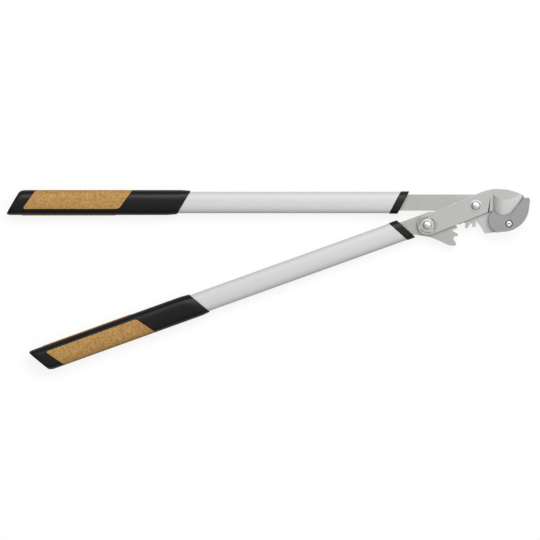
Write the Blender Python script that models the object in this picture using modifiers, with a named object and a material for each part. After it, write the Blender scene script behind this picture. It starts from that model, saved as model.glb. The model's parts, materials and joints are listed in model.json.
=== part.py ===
# Geared anvil lopper: two oval tube handles, a meshing pair of toothed tangs, a curved blade
# on a link bar, and a hooked anvil that the blade closes on.
#
# Frame: metres. The origin is on the main pivot's axis at the tail of its bolt. X runs along
# the upper handle towards the jaw, Y is its outer side, and Z rises from the back link to the
# blade. The model is closed: the blade rests on the anvil.

import math

import bmesh
import bpy

# Clearances
SEAT_GAP = 0.00025            # air between pieces that seat on each other
RUN_GAP = 0.00005             # radial play of a bore on its bushing
OVERSHOOT = 0.0020            # how far a cutter goes past what it cuts

# Pivots and the link between them
PIVOT_SPACING = 0.080
LINK_SLOPE = math.radians(21.7)
HANDLE_SPREAD = math.radians(19.8)
BUSHING_RADIUS = 0.0065
BOLT_RADIUS = 0.0040
FLANGE_RADIUS = 0.0092
FLANGE_HEIGHT = 0.0008
HEAD_RADIUS = 0.0076
HEAD_HEIGHT = 0.0034
DISC_RADIUS = 0.0147
DISC_HEIGHT = 0.0016
DISC_RIM = 0.0011
DISC_RIM_HEIGHT = 0.0005
WASHER_RADIUS = 0.0085
WASHER_HEIGHT = 0.0012
NUT_FLATS = 0.0130
NUT_HEIGHT = 0.0042
BOLT_TAIL = 0.0003            # how far a bolt ends beyond its nut
TURNED_CHAMFER = 0.0004

# Plates
TANG_THICKNESS = 0.0060
BLADE_THICKNESS = 0.0050
BACK_LINK_THICKNESS = 0.0040
BACK_LINK_END = 0.0130
BACK_LINK_WAIST = 0.0100
BACK_LINK_WRAP = math.radians(114.6)
BAR_HALF_WIDTH = 0.0159
PLATE_CHAMFER = 0.0004

# Toothed sectors
DRIVE_TEETH = 26              # teeth a full lower wheel would have
DRIVEN_TEETH = 19             # teeth a full upper wheel would have
TEETH_CUT = 5                 # two hidden ones and the three that show
PRESSURE_ANGLE = math.radians(20.0)
DRIVE_TIPS = (0.0484, 0.0478, 0.0464, 0.0496, 0.0515)
DRIVEN_TIPS = (0.0376, 0.0378, 0.0389, 0.0374, 0.0326)
TIP_CLEARANCE = 0.0007
BACKLASH = 0.0006
CROWN_SHARE = 1.5             # height of a tooth's rounded tip, as a share of its half width
CROWN_LIMIT = 0.9             # and at most this share of the tooth's own height
VALLEY_DEPTH = 0.0019         # of the round bottom between two teeth
LAST_TIP = (0.0535, math.radians(55.4))   # the last lower tooth leans out to here
LAST_FOOT = 0.0262            # where the last upper tooth's outer flank ends
NOTCH_DEPTH = 0.0027          # of the round bottom between that tooth and the hook
SECTOR_LEAD = 0.0010
SECTOR_SHOULDER = (-0.0016, -0.0014)
FIRST_TOOTH = math.radians(-2.0)
SECTOR_RELIEF = 0.0022

# Blade
EDGE_CENTRE = (0.0465, 0.0070)
EDGE_RADIUS = 0.0285
EDGE_THICKNESS = 0.0005
EDGE_END = math.radians(8.0)   # how far short of the tip the edge's arc stops
RIDGE_X = 0.0262              # where the front grind starts
TIP = (0.0748, 0.0128)
SPINE_LEAD = 0.0030
SPINE = ((0.0018, 0.0185), (0.0386, 0.0263), (0.0716, 0.0169))
GRIND_TOP = ((0.0262, 0.0178), (0.0426, 0.0100), (0.0690, 0.0215))
BACK_GRIND_WIDTH = 0.0060
BACK_GRIND_DEPTH = 0.0011
BACK_GRIND_SWEEP = (-126, 13, 6)   # first, last and step, in degrees round EDGE_CENTRE
GRIND_RISE = 0.12             # how far the grind's cutter starts before its top
GRIND_RUN_OUT = 0.20          # and ends past the edge, as shares of its width
GROOVE_TOP = (0.0228, 0.0122)
GROOVE_FOOT_X = 0.0200
GROOVE_WIDTH = 0.0016
GROOVE_DEPTH = 0.0010
GROOVE_RISE = 0.0010          # height of its cutter over the blade's face
GROOVE_START = 0.05           # its size at the top, as a share of that at the foot

# Anvil and the hook that carries it
LIP_COVER_GAP = 0.0005        # between the blade's face and the lip over it
LIP_THICKNESS = 0.0042
ANVIL_CENTRE = (0.0415, 0.0005)
ANVIL_RADIUS = 0.0400
ANVIL_FOOT_TURN = math.radians(11.0)
CHEEK_CENTRE = (0.0385, -0.0215)
CHEEK_RADIUS = 0.0194
CHEEK_FOOT = (0.0323, -0.0409)
LIP_FLOOR = ((0.0550, -0.0104), (0.0433, -0.0150), (0.0300, -0.0104))
LIP_TIP = (0.0730, 0.0122)
NOSE = ((0.0801, 0.0127), (0.0827, 0.0092))
NOSE_FOOT = (0.0814, -0.0030)
NOSE_BULGE = (0.0006, 0.0005)
HOOK_INSET = 0.0012
HOOK_EDGE = ((0.0030, -0.0258), (0.0077, -0.0312), (0.0120, -0.0392))
HOOK_TOE = ((0.0132, -0.0412), (0.0155, -0.0422), (0.0200, -0.0416))
HOOK_NECK = math.radians(-20.0)
ANVIL_SCREW = (0.0507, -0.0276)
SCREW_RADIUS = 0.0025
SCREW_HEAD_RADIUS = 0.0045
SCREW_HEAD_HEIGHT = 0.0026
SCREW_DOME = 0.0012
SCREW_SOCKET_FLATS = 0.0030
SCREW_SOCKET_DEPTH = 0.0016
COUNTERBORE_RADIUS = 0.0059
COUNTERBORE_DEPTH = 0.0030
POCKET_BACK = (0.0, 0.0500)
ANVIL_PEG = (0.0345, -0.0290)
PEG_RADIUS = 0.0032
PEG_LENGTH = 0.0045
POCKET_SWING = (math.radians(1.0), math.radians(40.0))

# Handles. Distances along a handle are measured back from its collar's front face.
UPPER_AXIS_OFFSET = 0.0053
UPPER_COLLAR_REACH = 0.1106
LOWER_AXIS_OFFSET = 0.0059
LOWER_COLLAR_REACH = 0.03205
LOWER_FLARE = ((-0.0245, 0.0064), (-0.0128, 0.0124), (-0.0020, 0.0184),
               (0.0078, 0.0270), (0.0220, 0.0408))
TUBE_WIDTH = 0.0329
TUBE_DEPTH = 0.0200
TUBE_WALL = 0.0018
TUBE_SLANT = math.radians(28.0)
OVAL_POWER = 2.35
OVAL_SIDES = 36
COLLAR_LENGTH = 0.0129
COLLAR_PROUD = 0.0008
COLLAR_CHAMFER = 0.0008
TANG_INSERT = 0.0750
CORE_OVERRUN = 0.0060         # core left beyond the end of the tang
CORE_SIDE = 0.0021            # core on either side of the tang
PIN_RADIUS = 0.0025
PIN_SETBACKS = (0.0300, 0.0580)
PIN_RECESS = 0.0010           # how far a pin stops short of the tube's wall
GRIP_START = 0.33605
GRIP_LENGTH = 0.2616
GRIP_SIDE_WALL = 0.0025
GRIP_FACE_WALL = 0.0032
GRIP_SLANT = math.radians(30.5)
GRIP_TAPER = 0.0180
GRIP_MOUTH_WALL = 0.0012
GRIP_NOSE_PLACES = (0.0120, 0.0060, 0.0025, 0.0007, 0.0)   # distances before the grip's end
GRIP_NOSE_SHARES = (1.0, 0.975, 0.93, 0.87, 0.80)          # sizes there, of the full section
TUBE_END_ROOM = 0.0140        # grip left beyond the end of the tube
PAD_END_ROOM = 0.02165        # grip left beyond the pad, along the centreline
PAD_LENGTH = 0.1478
PAD_THICKNESS = 0.0020
PAD_SLANT = math.radians(35.5)
PAD_WIDTH = 0.0292            # from the grip's outer edge to the pad's inner border
PAD_CORNER = 0.0040
STRIPE_END_ROOM = 0.02455
STRIPE_LENGTH = 0.1434
STRIPE_HEIGHT = 0.0050
STRIPE_THICKNESS = 0.0012
STRIPE_PROUD = 0.0003
STRIPE_INSET = 0.3            # where its border starts, as a share of the grip's width

# Derived places
MODULE = 2.0 * PIVOT_SPACING / (DRIVE_TEETH + DRIVEN_TEETH)
DRIVE_PITCH = MODULE * DRIVE_TEETH / 2.0
DRIVEN_PITCH = MODULE * DRIVEN_TEETH / 2.0
GEAR_PIVOT = (-PIVOT_SPACING * math.cos(LINK_SLOPE), -PIVOT_SPACING * math.sin(LINK_SLOPE))
TANG_WIDTH = TUBE_WIDTH - 2.0 * (TUBE_WALL + SEAT_GAP + CORE_SIDE)
GRIP_WIDTH = TUBE_WIDTH + 2.0 * (SEAT_GAP + GRIP_SIDE_WALL)
GRIP_DEPTH = TUBE_DEPTH + 2.0 * (SEAT_GAP + GRIP_FACE_WALL)
GRIP_END = GRIP_START + GRIP_LENGTH
PAD_START = GRIP_END - PAD_END_ROOM - PAD_LENGTH
PAD_EDGE = GRIP_WIDTH / 2.0 - PAD_WIDTH
STRIPE_START = GRIP_END - STRIPE_END_ROOM - STRIPE_LENGTH
HUB_RADIUS = UPPER_AXIS_OFFSET + TANG_WIDTH / 2.0
MID_Z = (TANG_THICKNESS / 2.0 + BACK_LINK_THICKNESS + WASHER_HEIGHT + NUT_HEIGHT
         + 3.0 * SEAT_GAP + BOLT_TAIL)
TANG_TOP = MID_Z + TANG_THICKNESS / 2.0
TANG_FOOT = MID_Z - TANG_THICKNESS / 2.0
BLADE_FOOT = TANG_TOP + SEAT_GAP
BLADE_TOP = BLADE_FOOT + BLADE_THICKNESS
LINK_TOP = TANG_FOOT - SEAT_GAP
LINK_FOOT = LINK_TOP - BACK_LINK_THICKNESS
WASHER_TOP = LINK_FOOT - SEAT_GAP
NUT_TOP = WASHER_TOP - WASHER_HEIGHT - SEAT_GAP
TAIL_Z = NUT_TOP - NUT_HEIGHT - BOLT_TAIL
LIP_FOOT = BLADE_TOP + LIP_COVER_GAP
ANVIL_TOP = LIP_FOOT + LIP_THICKNESS
EDGE_Z = BLADE_FOOT + BACK_GRIND_DEPTH

# Sides of round shapes, and the angle up to which they are shaded smooth
ROUND_SIDES = 48
BORE_SIDES = 32
SMALL_SIDES = 24
FLANK_STEPS = 4
CROWN_TURNS = (math.radians(30.0), math.radians(58.0), math.radians(80.0))
VALLEY_STEPS = 6
PIN_SIDES = 16
DOME_STEPS = 6
CORNER_STEPS = 4
SMOOTH_ANGLE = math.radians(30.0)

PARTS = None
CUTTERS = None


def reset_scene():
    for item in list(bpy.data.objects):
        bpy.data.objects.remove(item, do_unlink=True)
    collections = []
    for name in ("anvil_lopper", "cutters"):
        old = bpy.data.collections.get(name)
        if old is not None:
            bpy.data.collections.remove(old)
        collection = bpy.data.collections.new(name)
        bpy.context.scene.collection.children.link(collection)
        collections.append(collection)
    return collections


# Materials

def make_material(name, colour, roughness, metallic):
    material = bpy.data.materials.new(name)
    material.use_nodes = True
    shader = material.node_tree.nodes["Principled BSDF"]
    shader.inputs["Base Color"].default_value = (*colour, 1.0)
    shader.inputs["Roughness"].default_value = roughness
    shader.inputs["Metallic"].default_value = metallic
    return material


# Points and outlines

def polar(centre, radius, angle):
    return (centre[0] + radius * math.cos(angle), centre[1] + radius * math.sin(angle))


def arc(centre, radius, start, end, steps):
    return [polar(centre, radius, start + (end - start) * i / steps) for i in range(steps + 1)]


def direction(centre, point):
    return math.atan2(point[1] - centre[1], point[0] - centre[0])


def arc_through(first, middle, last, steps):
    # The circle through three points, walked from the first to the last by way of the middle.
    ax, ay = first
    bx, by = middle
    cx, cy = last
    d = 2.0 * (ax * (by - cy) + bx * (cy - ay) + cx * (ay - by))
    a2, b2, c2 = ax * ax + ay * ay, bx * bx + by * by, cx * cx + cy * cy
    centre = ((a2 * (by - cy) + b2 * (cy - ay) + c2 * (ay - by)) / d,
              (a2 * (cx - bx) + b2 * (ax - cx) + c2 * (bx - ax)) / d)
    start = direction(centre, first)
    middle_turn = (direction(centre, middle) - start) % math.tau
    turn = (direction(centre, last) - start) % math.tau
    if middle_turn > turn:
        turn -= math.tau
    return arc(centre, math.dist(centre, first), start, start + turn, steps)


def offset_path(points, distance):
    # Moves an open line of points to the left of its travel by the distance.
    moved = []
    for i, point in enumerate(points):
        before = points[max(i - 1, 0)]
        after = points[min(i + 1, len(points) - 1)]
        run = math.dist(before, after)
        moved.append((point[0] - distance * (after[1] - before[1]) / run,
                      point[1] + distance * (after[0] - before[0]) / run))
    return moved


def line_cut(point, angle, x):
    # The height of a slanted line at x.
    return point[1] + math.tan(angle) * (x - point[0])


# Mesh helpers

def finish_mesh(mesh, material):
    mesh.materials.clear()
    mesh.materials.append(material)
    mesh.shade_smooth()
    mesh.set_sharp_from_angle(angle=SMOOTH_ANGLE)


def add_object(name, mesh, collection, parent=None):
    item = bpy.data.objects.new(name, mesh)
    collection.objects.link(item)
    item.parent = parent
    if collection is CUTTERS:
        item.hide_render = True
        item.display_type = "WIRE"
    return item


def clean(mesh):
    shape = bmesh.new()
    shape.from_mesh(mesh)
    bmesh.ops.remove_doubles(shape, verts=shape.verts, dist=1e-6)
    bmesh.ops.recalc_face_normals(shape, faces=shape.faces)
    shape.to_mesh(mesh)
    shape.free()
    return mesh


def plate_mesh(name, outline, foot, top, holes=(), chamfer=0.0):
    # A flat outline as a filled 2D curve with an extrusion, made into a welded mesh.
    curve = bpy.data.curves.new(name, "CURVE")
    curve.dimensions = "2D"
    curve.fill_mode = "BOTH"
    curve.extrude = (top - foot) / 2.0 - chamfer
    curve.bevel_depth = chamfer
    curve.bevel_resolution = 0
    curve.offset = -chamfer
    for ring in (outline, *holes):
        spline = curve.splines.new("POLY")
        spline.points.add(len(ring) - 1)
        for target, point in zip(spline.points, ring):
            target.co = (point[0], point[1], 0.0, 1.0)
        spline.use_cyclic_u = True
    holder = bpy.data.objects.new(name, curve)
    PARTS.objects.link(holder)
    bpy.context.view_layer.update()
    evaluated = holder.evaluated_get(bpy.context.evaluated_depsgraph_get())
    mesh = bpy.data.meshes.new_from_object(evaluated)
    bpy.data.objects.remove(holder, do_unlink=True)
    bpy.data.curves.remove(curve)
    for vertex in mesh.vertices:
        vertex.co.z += (top + foot) / 2.0
    mesh.name = name
    return clean(mesh)


def circle(centre, radius, sides=ROUND_SIDES):
    return [polar(centre, radius, math.tau * i / sides) for i in range(sides)]


def loft_mesh(name, rings, closed=False):
    # Bridges rings of equal point counts, and either joins the last to the first or caps both.
    shape = bmesh.new()
    loops = [[shape.verts.new(point) for point in ring] for ring in rings]
    pairs = list(zip(loops, loops[1:]))
    if closed:
        pairs.append((loops[-1], loops[0]))
    else:
        shape.faces.new(loops[0])
        shape.faces.new(loops[-1])
    for one, two in pairs:
        for i in range(len(one)):
            j = (i + 1) % len(one)
            shape.faces.new((one[i], one[j], two[j], two[i]))
    bmesh.ops.recalc_face_normals(shape, faces=shape.faces)
    mesh = bpy.data.meshes.new(name)
    shape.to_mesh(mesh)
    shape.free()
    return mesh


def turned(name, profile, centre, material, parent):
    # A profile of (radius, height) pairs, from the top down its outer side, spun round Z.
    shape = bmesh.new()
    points = [shape.verts.new((radius, 0.0, height)) for radius, height in profile]
    for one, two in zip(points, points[1:]):
        shape.edges.new((one, two))
    if profile[0][0] > 0.0:
        shape.edges.new((points[-1], points[0]))
    mesh = bpy.data.meshes.new(name)
    shape.to_mesh(mesh)
    shape.free()
    mesh.materials.append(material)
    item = add_object(name, mesh, PARTS, parent)
    item.location = (centre[0], centre[1], 0.0)
    spin = item.modifiers.new("spin", "SCREW")
    spin.axis = "Z"
    spin.angle = math.tau
    spin.steps = ROUND_SIDES
    spin.render_steps = ROUND_SIDES
    spin.use_merge_vertices = True
    spin.merge_threshold = 0.00001
    spin.use_smooth_shade = False
    return item


def cut(item, cutter, operation="DIFFERENCE"):
    step = item.modifiers.new(cutter.name, "BOOLEAN")
    step.operation = operation
    step.object = cutter
    step.solver = "EXACT"


# Toothed sectors

def involute(angle):
    return math.tan(angle) - angle


def half_tooth(pitch_radius, radius):
    # Half the angle that one tooth fills at a radius; below the base circle the flank is radial.
    base = pitch_radius * math.cos(PRESSURE_ANGLE)
    pressure = math.acos(min(1.0, base / max(radius, base)))
    at_pitch = (math.pi * MODULE - BACKLASH) / (4.0 * pitch_radius)
    return at_pitch + involute(PRESSURE_ANGLE) - involute(pressure)


def flank(pitch_radius, centre_angle, root, tip, side):
    # Radius and angle pairs from the root to the tip on one side of a tooth: its involute,
    # and then a rounded cap that stays inside it.
    crown = min(CROWN_SHARE * tip * half_tooth(pitch_radius, tip), CROWN_LIMIT * (tip - root))
    shoulder = tip - crown
    pairs = []
    for i in range(FLANK_STEPS + 1):
        radius = root + (shoulder - root) * i / FLANK_STEPS
        pairs.append((radius, centre_angle + side * half_tooth(pitch_radius, radius)))
    for turn in CROWN_TURNS:
        radius = shoulder + crown * math.sin(turn)
        cap = half_tooth(pitch_radius, shoulder) * math.cos(turn)
        pairs.append((radius, centre_angle + side * min(cap, half_tooth(pitch_radius, radius))))
    return pairs


def valley(before, after, depth=VALLEY_DEPTH):
    # The round bottom between the feet of two flanks.
    pairs = []
    for i in range(1, VALLEY_STEPS):
        turn = math.pi * i / VALLEY_STEPS
        share = (1.0 - math.cos(turn)) / 2.0
        radius = before[0] + (after[0] - before[0]) * share - depth * math.sin(turn)
        pairs.append((radius, before[1] + (after[1] - before[1]) * share))
    return pairs


def drive_sector():
    # Lower sector, walked from its last tooth up to its first, round the gear pivot.
    points = []
    step = math.tau / DRIVE_TEETH
    for index in reversed(range(TEETH_CUT)):
        centre = FIRST_TOOTH + index * step
        tip = DRIVE_TIPS[index]
        below = PIVOT_SPACING - DRIVEN_TIPS[min(index + 1, TEETH_CUT - 1)] - TIP_CLEARANCE
        above = PIVOT_SPACING - DRIVEN_TIPS[index] - TIP_CLEARANCE
        if index < TEETH_CUT - 1:
            near_flank = flank(DRIVE_PITCH, centre, below, tip, 1.0)
            points += valley(points[-1], near_flank[0]) + near_flank
        else:
            points.append(LAST_TIP)
        points += list(reversed(flank(DRIVE_PITCH, centre, above, tip, -1.0)))
    return [polar(GEAR_PIVOT, radius, LINK_SLOPE - angle) for radius, angle in points]


def driven_sector():
    # Upper sector, walked from the half tooth beside the tang to the notch before the hook.
    points = []
    step = math.tau / DRIVEN_TEETH
    gap_centre = FIRST_TOOTH * DRIVE_TEETH / DRIVEN_TEETH
    for index in range(TEETH_CUT):
        centre = gap_centre + (index - 0.5) * step
        tip = DRIVEN_TIPS[index]
        before = PIVOT_SPACING - DRIVE_TIPS[max(index - 1, 0)] - TIP_CLEARANCE
        after = PIVOT_SPACING - DRIVE_TIPS[index] - TIP_CLEARANCE
        if index == TEETH_CUT - 1:
            after = LAST_FOOT
        if index > 0:
            near_flank = flank(DRIVEN_PITCH, centre, before, tip, -1.0)
            points += valley(points[-1], near_flank[0]) + near_flank
        points += list(reversed(flank(DRIVEN_PITCH, centre, after, tip, 1.0)))
    back = math.pi + LINK_SLOPE
    hook = (math.hypot(*HOOK_EDGE[0]), direction((0.0, 0.0), HOOK_EDGE[0]) % math.tau - back)
    points += valley(points[-1], hook, NOTCH_DEPTH)
    return [polar((0.0, 0.0), radius, back + angle) for radius, angle in points]


# Outlines of the jaw

def anvil_back():
    # Outer side of the anvil, from the foot of its cheek round to its nose.
    start = direction(ANVIL_CENTRE, CHEEK_FOOT) + ANVIL_FOOT_TURN
    end = direction(ANVIL_CENTRE, NOSE_FOOT)
    return [CHEEK_FOOT] + arc(ANVIL_CENTRE, ANVIL_RADIUS, start, end, 12)


def anvil_nose():
    middle = ((NOSE[0][0] + NOSE[1][0]) / 2.0 + NOSE_BULGE[0],
              (NOSE[0][1] + NOSE[1][1]) / 2.0 + NOSE_BULGE[1])
    return [NOSE[1], middle, NOSE[0]]


def lip_line():
    # Inner side of the lip, from the nose down the straight to the floor and up to the cheek.
    cheek = polar(CHEEK_CENTRE, CHEEK_RADIUS, cheek_start())
    return [LIP_TIP] + arc_through(LIP_FLOOR[0], LIP_FLOOR[1], LIP_FLOOR[2], 7) + [cheek]


def cheek_start():
    return math.acos((RIDGE_X - CHEEK_CENTRE[0]) / CHEEK_RADIUS)


def cheek_arc():
    return arc(CHEEK_CENTRE, CHEEK_RADIUS, cheek_start(),
               direction(CHEEK_CENTRE, CHEEK_FOOT) + math.tau, 14)[1:-1]


def edge_arc(extra, steps=18):
    # The cutting edge from the heel to the tip, moved outwards by an extra distance.
    heel = -math.acos((RIDGE_X - EDGE_CENTRE[0]) / EDGE_RADIUS)
    tip = direction(EDGE_CENTRE, TIP) - EDGE_END
    return arc(EDGE_CENTRE, EDGE_RADIUS + extra, heel, tip, steps)


def bar_line(side, x):
    # A point on one long side of the bar between the pivots.
    lift = side * BAR_HALF_WIDTH / math.cos(LINK_SLOPE)
    return (x, line_cut((0.0, lift), LINK_SLOPE, x))


def blade_outline():
    lower_turn = LINK_SLOPE - math.pi / 2.0
    heel_top = bar_line(-1.0, RIDGE_X)
    spine = arc_through(SPINE[0], SPINE[1], SPINE[2], 14)
    points = arc(GEAR_PIVOT, BAR_HALF_WIDTH, lower_turn + math.tau - math.pi,
                 lower_turn + math.tau, 16)
    points += [heel_top]
    points += edge_arc(0.0)
    points += [TIP]
    points += list(reversed(spine))
    points += [bar_line(1.0, SPINE[0][0] - SPINE_LEAD)]
    return points


def back_link_outline():
    turn = LINK_SLOPE
    near = arc((0.0, 0.0), BACK_LINK_END, turn - BACK_LINK_WRAP, turn + BACK_LINK_WRAP, 16)
    back = turn + math.pi
    far = arc(GEAR_PIVOT, BACK_LINK_END, back - BACK_LINK_WRAP, back + BACK_LINK_WRAP, 16)
    middle = (GEAR_PIVOT[0] / 2.0, GEAR_PIVOT[1] / 2.0)
    waist = [polar(middle, BACK_LINK_WAIST, turn + math.pi / 2.0),
             polar(middle, BACK_LINK_WAIST, turn - math.pi / 2.0)]
    return near + [waist[0]] + far + [waist[1]]


def upper_tang_outline():
    low = UPPER_AXIS_OFFSET - TANG_WIDTH / 2.0
    high = UPPER_AXIS_OFFSET + TANG_WIDTH / 2.0
    tail = -UPPER_COLLAR_REACH - TANG_INSERT
    teeth = driven_sector()
    hook = offset_path(anvil_back() + anvil_nose(), HOOK_INSET)[2:]
    lip = offset_path(lip_line(), HOOK_INSET)
    points = [(tail, low), (teeth[0][0] - SECTOR_LEAD, low)] + teeth
    points += arc_through(HOOK_EDGE[0], HOOK_EDGE[1], HOOK_EDGE[2], 6)
    points += list(HOOK_TOE)
    points += hook + lip
    points += arc((0.0, 0.0), HUB_RADIUS, HOOK_NECK, math.pi / 2.0, 14)
    points += [(tail, high)]
    return points


def lower_place(along, outward):
    # A point given along the lower handle towards the jaw and outwards, from the gear pivot.
    turn = HANDLE_SPREAD
    return (GEAR_PIVOT[0] + along * math.cos(turn) + outward * math.sin(turn),
            GEAR_PIVOT[1] + along * math.sin(turn) - outward * math.cos(turn))


def lower_tang_outline():
    outer = TANG_WIDTH / 2.0 - LOWER_AXIS_OFFSET
    inner = -TANG_WIDTH / 2.0 - LOWER_AXIS_OFFSET
    tail = -LOWER_COLLAR_REACH - TANG_INSERT
    teeth = drive_sector()
    shoulder = (teeth[0][0] + SECTOR_SHOULDER[0], teeth[0][1] + SECTOR_SHOULDER[1])
    ceiling = UPPER_AXIS_OFFSET - TANG_WIDTH / 2.0 - SECTOR_RELIEF
    corner = lower_place(0.0, inner)
    reach = corner[0] + (ceiling - corner[1]) / math.tan(HANDLE_SPREAD)
    flare = [lower_place(along, outward) for along, outward in LOWER_FLARE]
    points = [lower_place(tail, outer)] + flare + [shoulder] + teeth
    points += [(reach, ceiling), lower_place(tail, inner)]
    return points


# Pieces of the jaw

def make_tangs(frames, steel):
    pins = [(-UPPER_COLLAR_REACH - setback, UPPER_AXIS_OFFSET) for setback in PIN_SETBACKS]
    holes = [circle((0.0, 0.0), BUSHING_RADIUS + RUN_GAP),
             circle(ANVIL_SCREW, SCREW_RADIUS + SEAT_GAP, SMALL_SIDES),
             circle(ANVIL_PEG, PEG_RADIUS + SEAT_GAP, SMALL_SIDES)]
    holes += [circle(pin, PIN_RADIUS + SEAT_GAP, PIN_SIDES) for pin in pins]
    mesh = plate_mesh("upper_tang", upper_tang_outline(), TANG_FOOT, TANG_TOP, holes)
    finish_mesh(mesh, steel)
    add_object("upper_tang", mesh, PARTS)

    pins = [lower_place(-LOWER_COLLAR_REACH - setback, -LOWER_AXIS_OFFSET)
            for setback in PIN_SETBACKS]
    holes = [circle(GEAR_PIVOT, BUSHING_RADIUS + RUN_GAP)]
    holes += [circle(pin, PIN_RADIUS + SEAT_GAP, PIN_SIDES) for pin in pins]
    mesh = plate_mesh("lower_tang", lower_tang_outline(), TANG_FOOT, TANG_TOP, holes)
    for vertex in mesh.vertices:
        vertex.co.x -= GEAR_PIVOT[0]
        vertex.co.y -= GEAR_PIVOT[1]
    finish_mesh(mesh, steel)
    add_object("lower_tang", mesh, PARTS, frames["gear_pivot"])


def grind_cutter():
    # A wedge lofted between the top of the grind and the edge, both carried past the blade.
    stations = 16
    inner = arc_through(GRIND_TOP[0], GRIND_TOP[1], GRIND_TOP[2], stations)
    outer = edge_arc(0.0, stations)
    low = EDGE_Z + EDGE_THICKNESS / 2.0
    depth = BLADE_TOP - low
    ceiling = BLADE_TOP + GRIND_RISE * depth + OVERSHOOT
    rings = []
    for near, far in zip(inner, outer):
        across = (far[0] - near[0], far[1] - near[1])
        back = (near[0] - GRIND_RISE * across[0], near[1] - GRIND_RISE * across[1])
        past = (far[0] + GRIND_RUN_OUT * across[0], far[1] + GRIND_RUN_OUT * across[1])
        rings.append([(back[0], back[1], BLADE_TOP + GRIND_RISE * depth),
                      (past[0], past[1], low - GRIND_RUN_OUT * depth),
                      (past[0], past[1], ceiling), (back[0], back[1], ceiling)])
    return add_object("grind_cutter", clean(loft_mesh("grind_cutter", rings)), CUTTERS)


def back_grind_cutter():
    # A turned wedge, concentric with the edge, that thins the blade from behind.
    high = EDGE_Z - EDGE_THICKNESS / 2.0
    slope = (high - BLADE_FOOT) / BACK_GRIND_WIDTH
    inner = EDGE_RADIUS - BACK_GRIND_WIDTH - OVERSHOOT
    outer = EDGE_RADIUS + OVERSHOOT
    floor = BLADE_FOOT - 2.0 * OVERSHOOT
    profile = [(outer, high + slope * OVERSHOOT), (outer, floor),
               (inner, floor), (inner, BLADE_FOOT - slope * OVERSHOOT)]
    rings = []
    for angle in range(*BACK_GRIND_SWEEP):
        turn = math.radians(angle)
        rings.append([(*polar(EDGE_CENTRE, radius, turn), height) for radius, height in profile])
    return add_object("back_grind_cutter", clean(loft_mesh("back_grind_cutter", rings)), CUTTERS)


def groove_cutter():
    # A shallow V that widens and deepens from the shoulder towards the heel.
    foot_y = bar_line(-1.0, GROOVE_FOOT_X)[1] - OVERSHOOT
    rings = []
    for share, (x, y) in ((GROOVE_START, GROOVE_TOP), (1.0, (GROOVE_FOOT_X, foot_y))):
        half = GROOVE_WIDTH / 2.0 * share
        high = BLADE_TOP + GROOVE_RISE
        rings.append([(x - half, y, high), (x, y, BLADE_TOP - GROOVE_DEPTH * share),
                      (x + half, y, high)])
    return add_object("groove_cutter", clean(loft_mesh("groove_cutter", rings)), CUTTERS)


def make_blade(frames, steel):
    holes = [circle((0.0, 0.0), BOLT_RADIUS + SEAT_GAP, BORE_SIDES),
             circle(GEAR_PIVOT, BOLT_RADIUS + SEAT_GAP, BORE_SIDES)]
    mesh = plate_mesh("blade", blade_outline(), BLADE_FOOT, BLADE_TOP, holes)
    finish_mesh(mesh, steel)
    blade = add_object("blade", mesh, PARTS, frames["main_pivot"])
    cut(blade, grind_cutter())
    cut(blade, back_grind_cutter())
    cut(blade, groove_cutter())


def make_back_link(frames, steel):
    holes = [circle((0.0, 0.0), BOLT_RADIUS + SEAT_GAP, BORE_SIDES),
             circle(GEAR_PIVOT, BOLT_RADIUS + SEAT_GAP, BORE_SIDES)]
    mesh = plate_mesh("back_link", back_link_outline(), LINK_FOOT, LINK_TOP, holes, PLATE_CHAMFER)
    finish_mesh(mesh, steel)
    add_object("back_link", mesh, PARTS, frames["main_pivot"])


def pocket_outline():
    # The room that the blade needs in the anvil as it swings open about the main pivot.
    reach = max(math.hypot(*TIP), math.hypot(*SPINE[2])) + 2.0 * SEAT_GAP
    edge = edge_arc(SEAT_GAP)
    heel = (edge[0][0] - SEAT_GAP, edge[0][1])
    start = direction((0.0, 0.0), edge[-1])
    swing = arc((0.0, 0.0), reach, start + POCKET_SWING[0], start + POCKET_SWING[1], 10)
    heel_top = (heel[0], bar_line(-1.0, heel[0])[1] - SEAT_GAP)
    shelf = bar_line(-1.0, 0.0)
    return [(shelf[0], shelf[1] - SEAT_GAP), heel_top, heel] + edge + swing + [POCKET_BACK]


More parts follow.
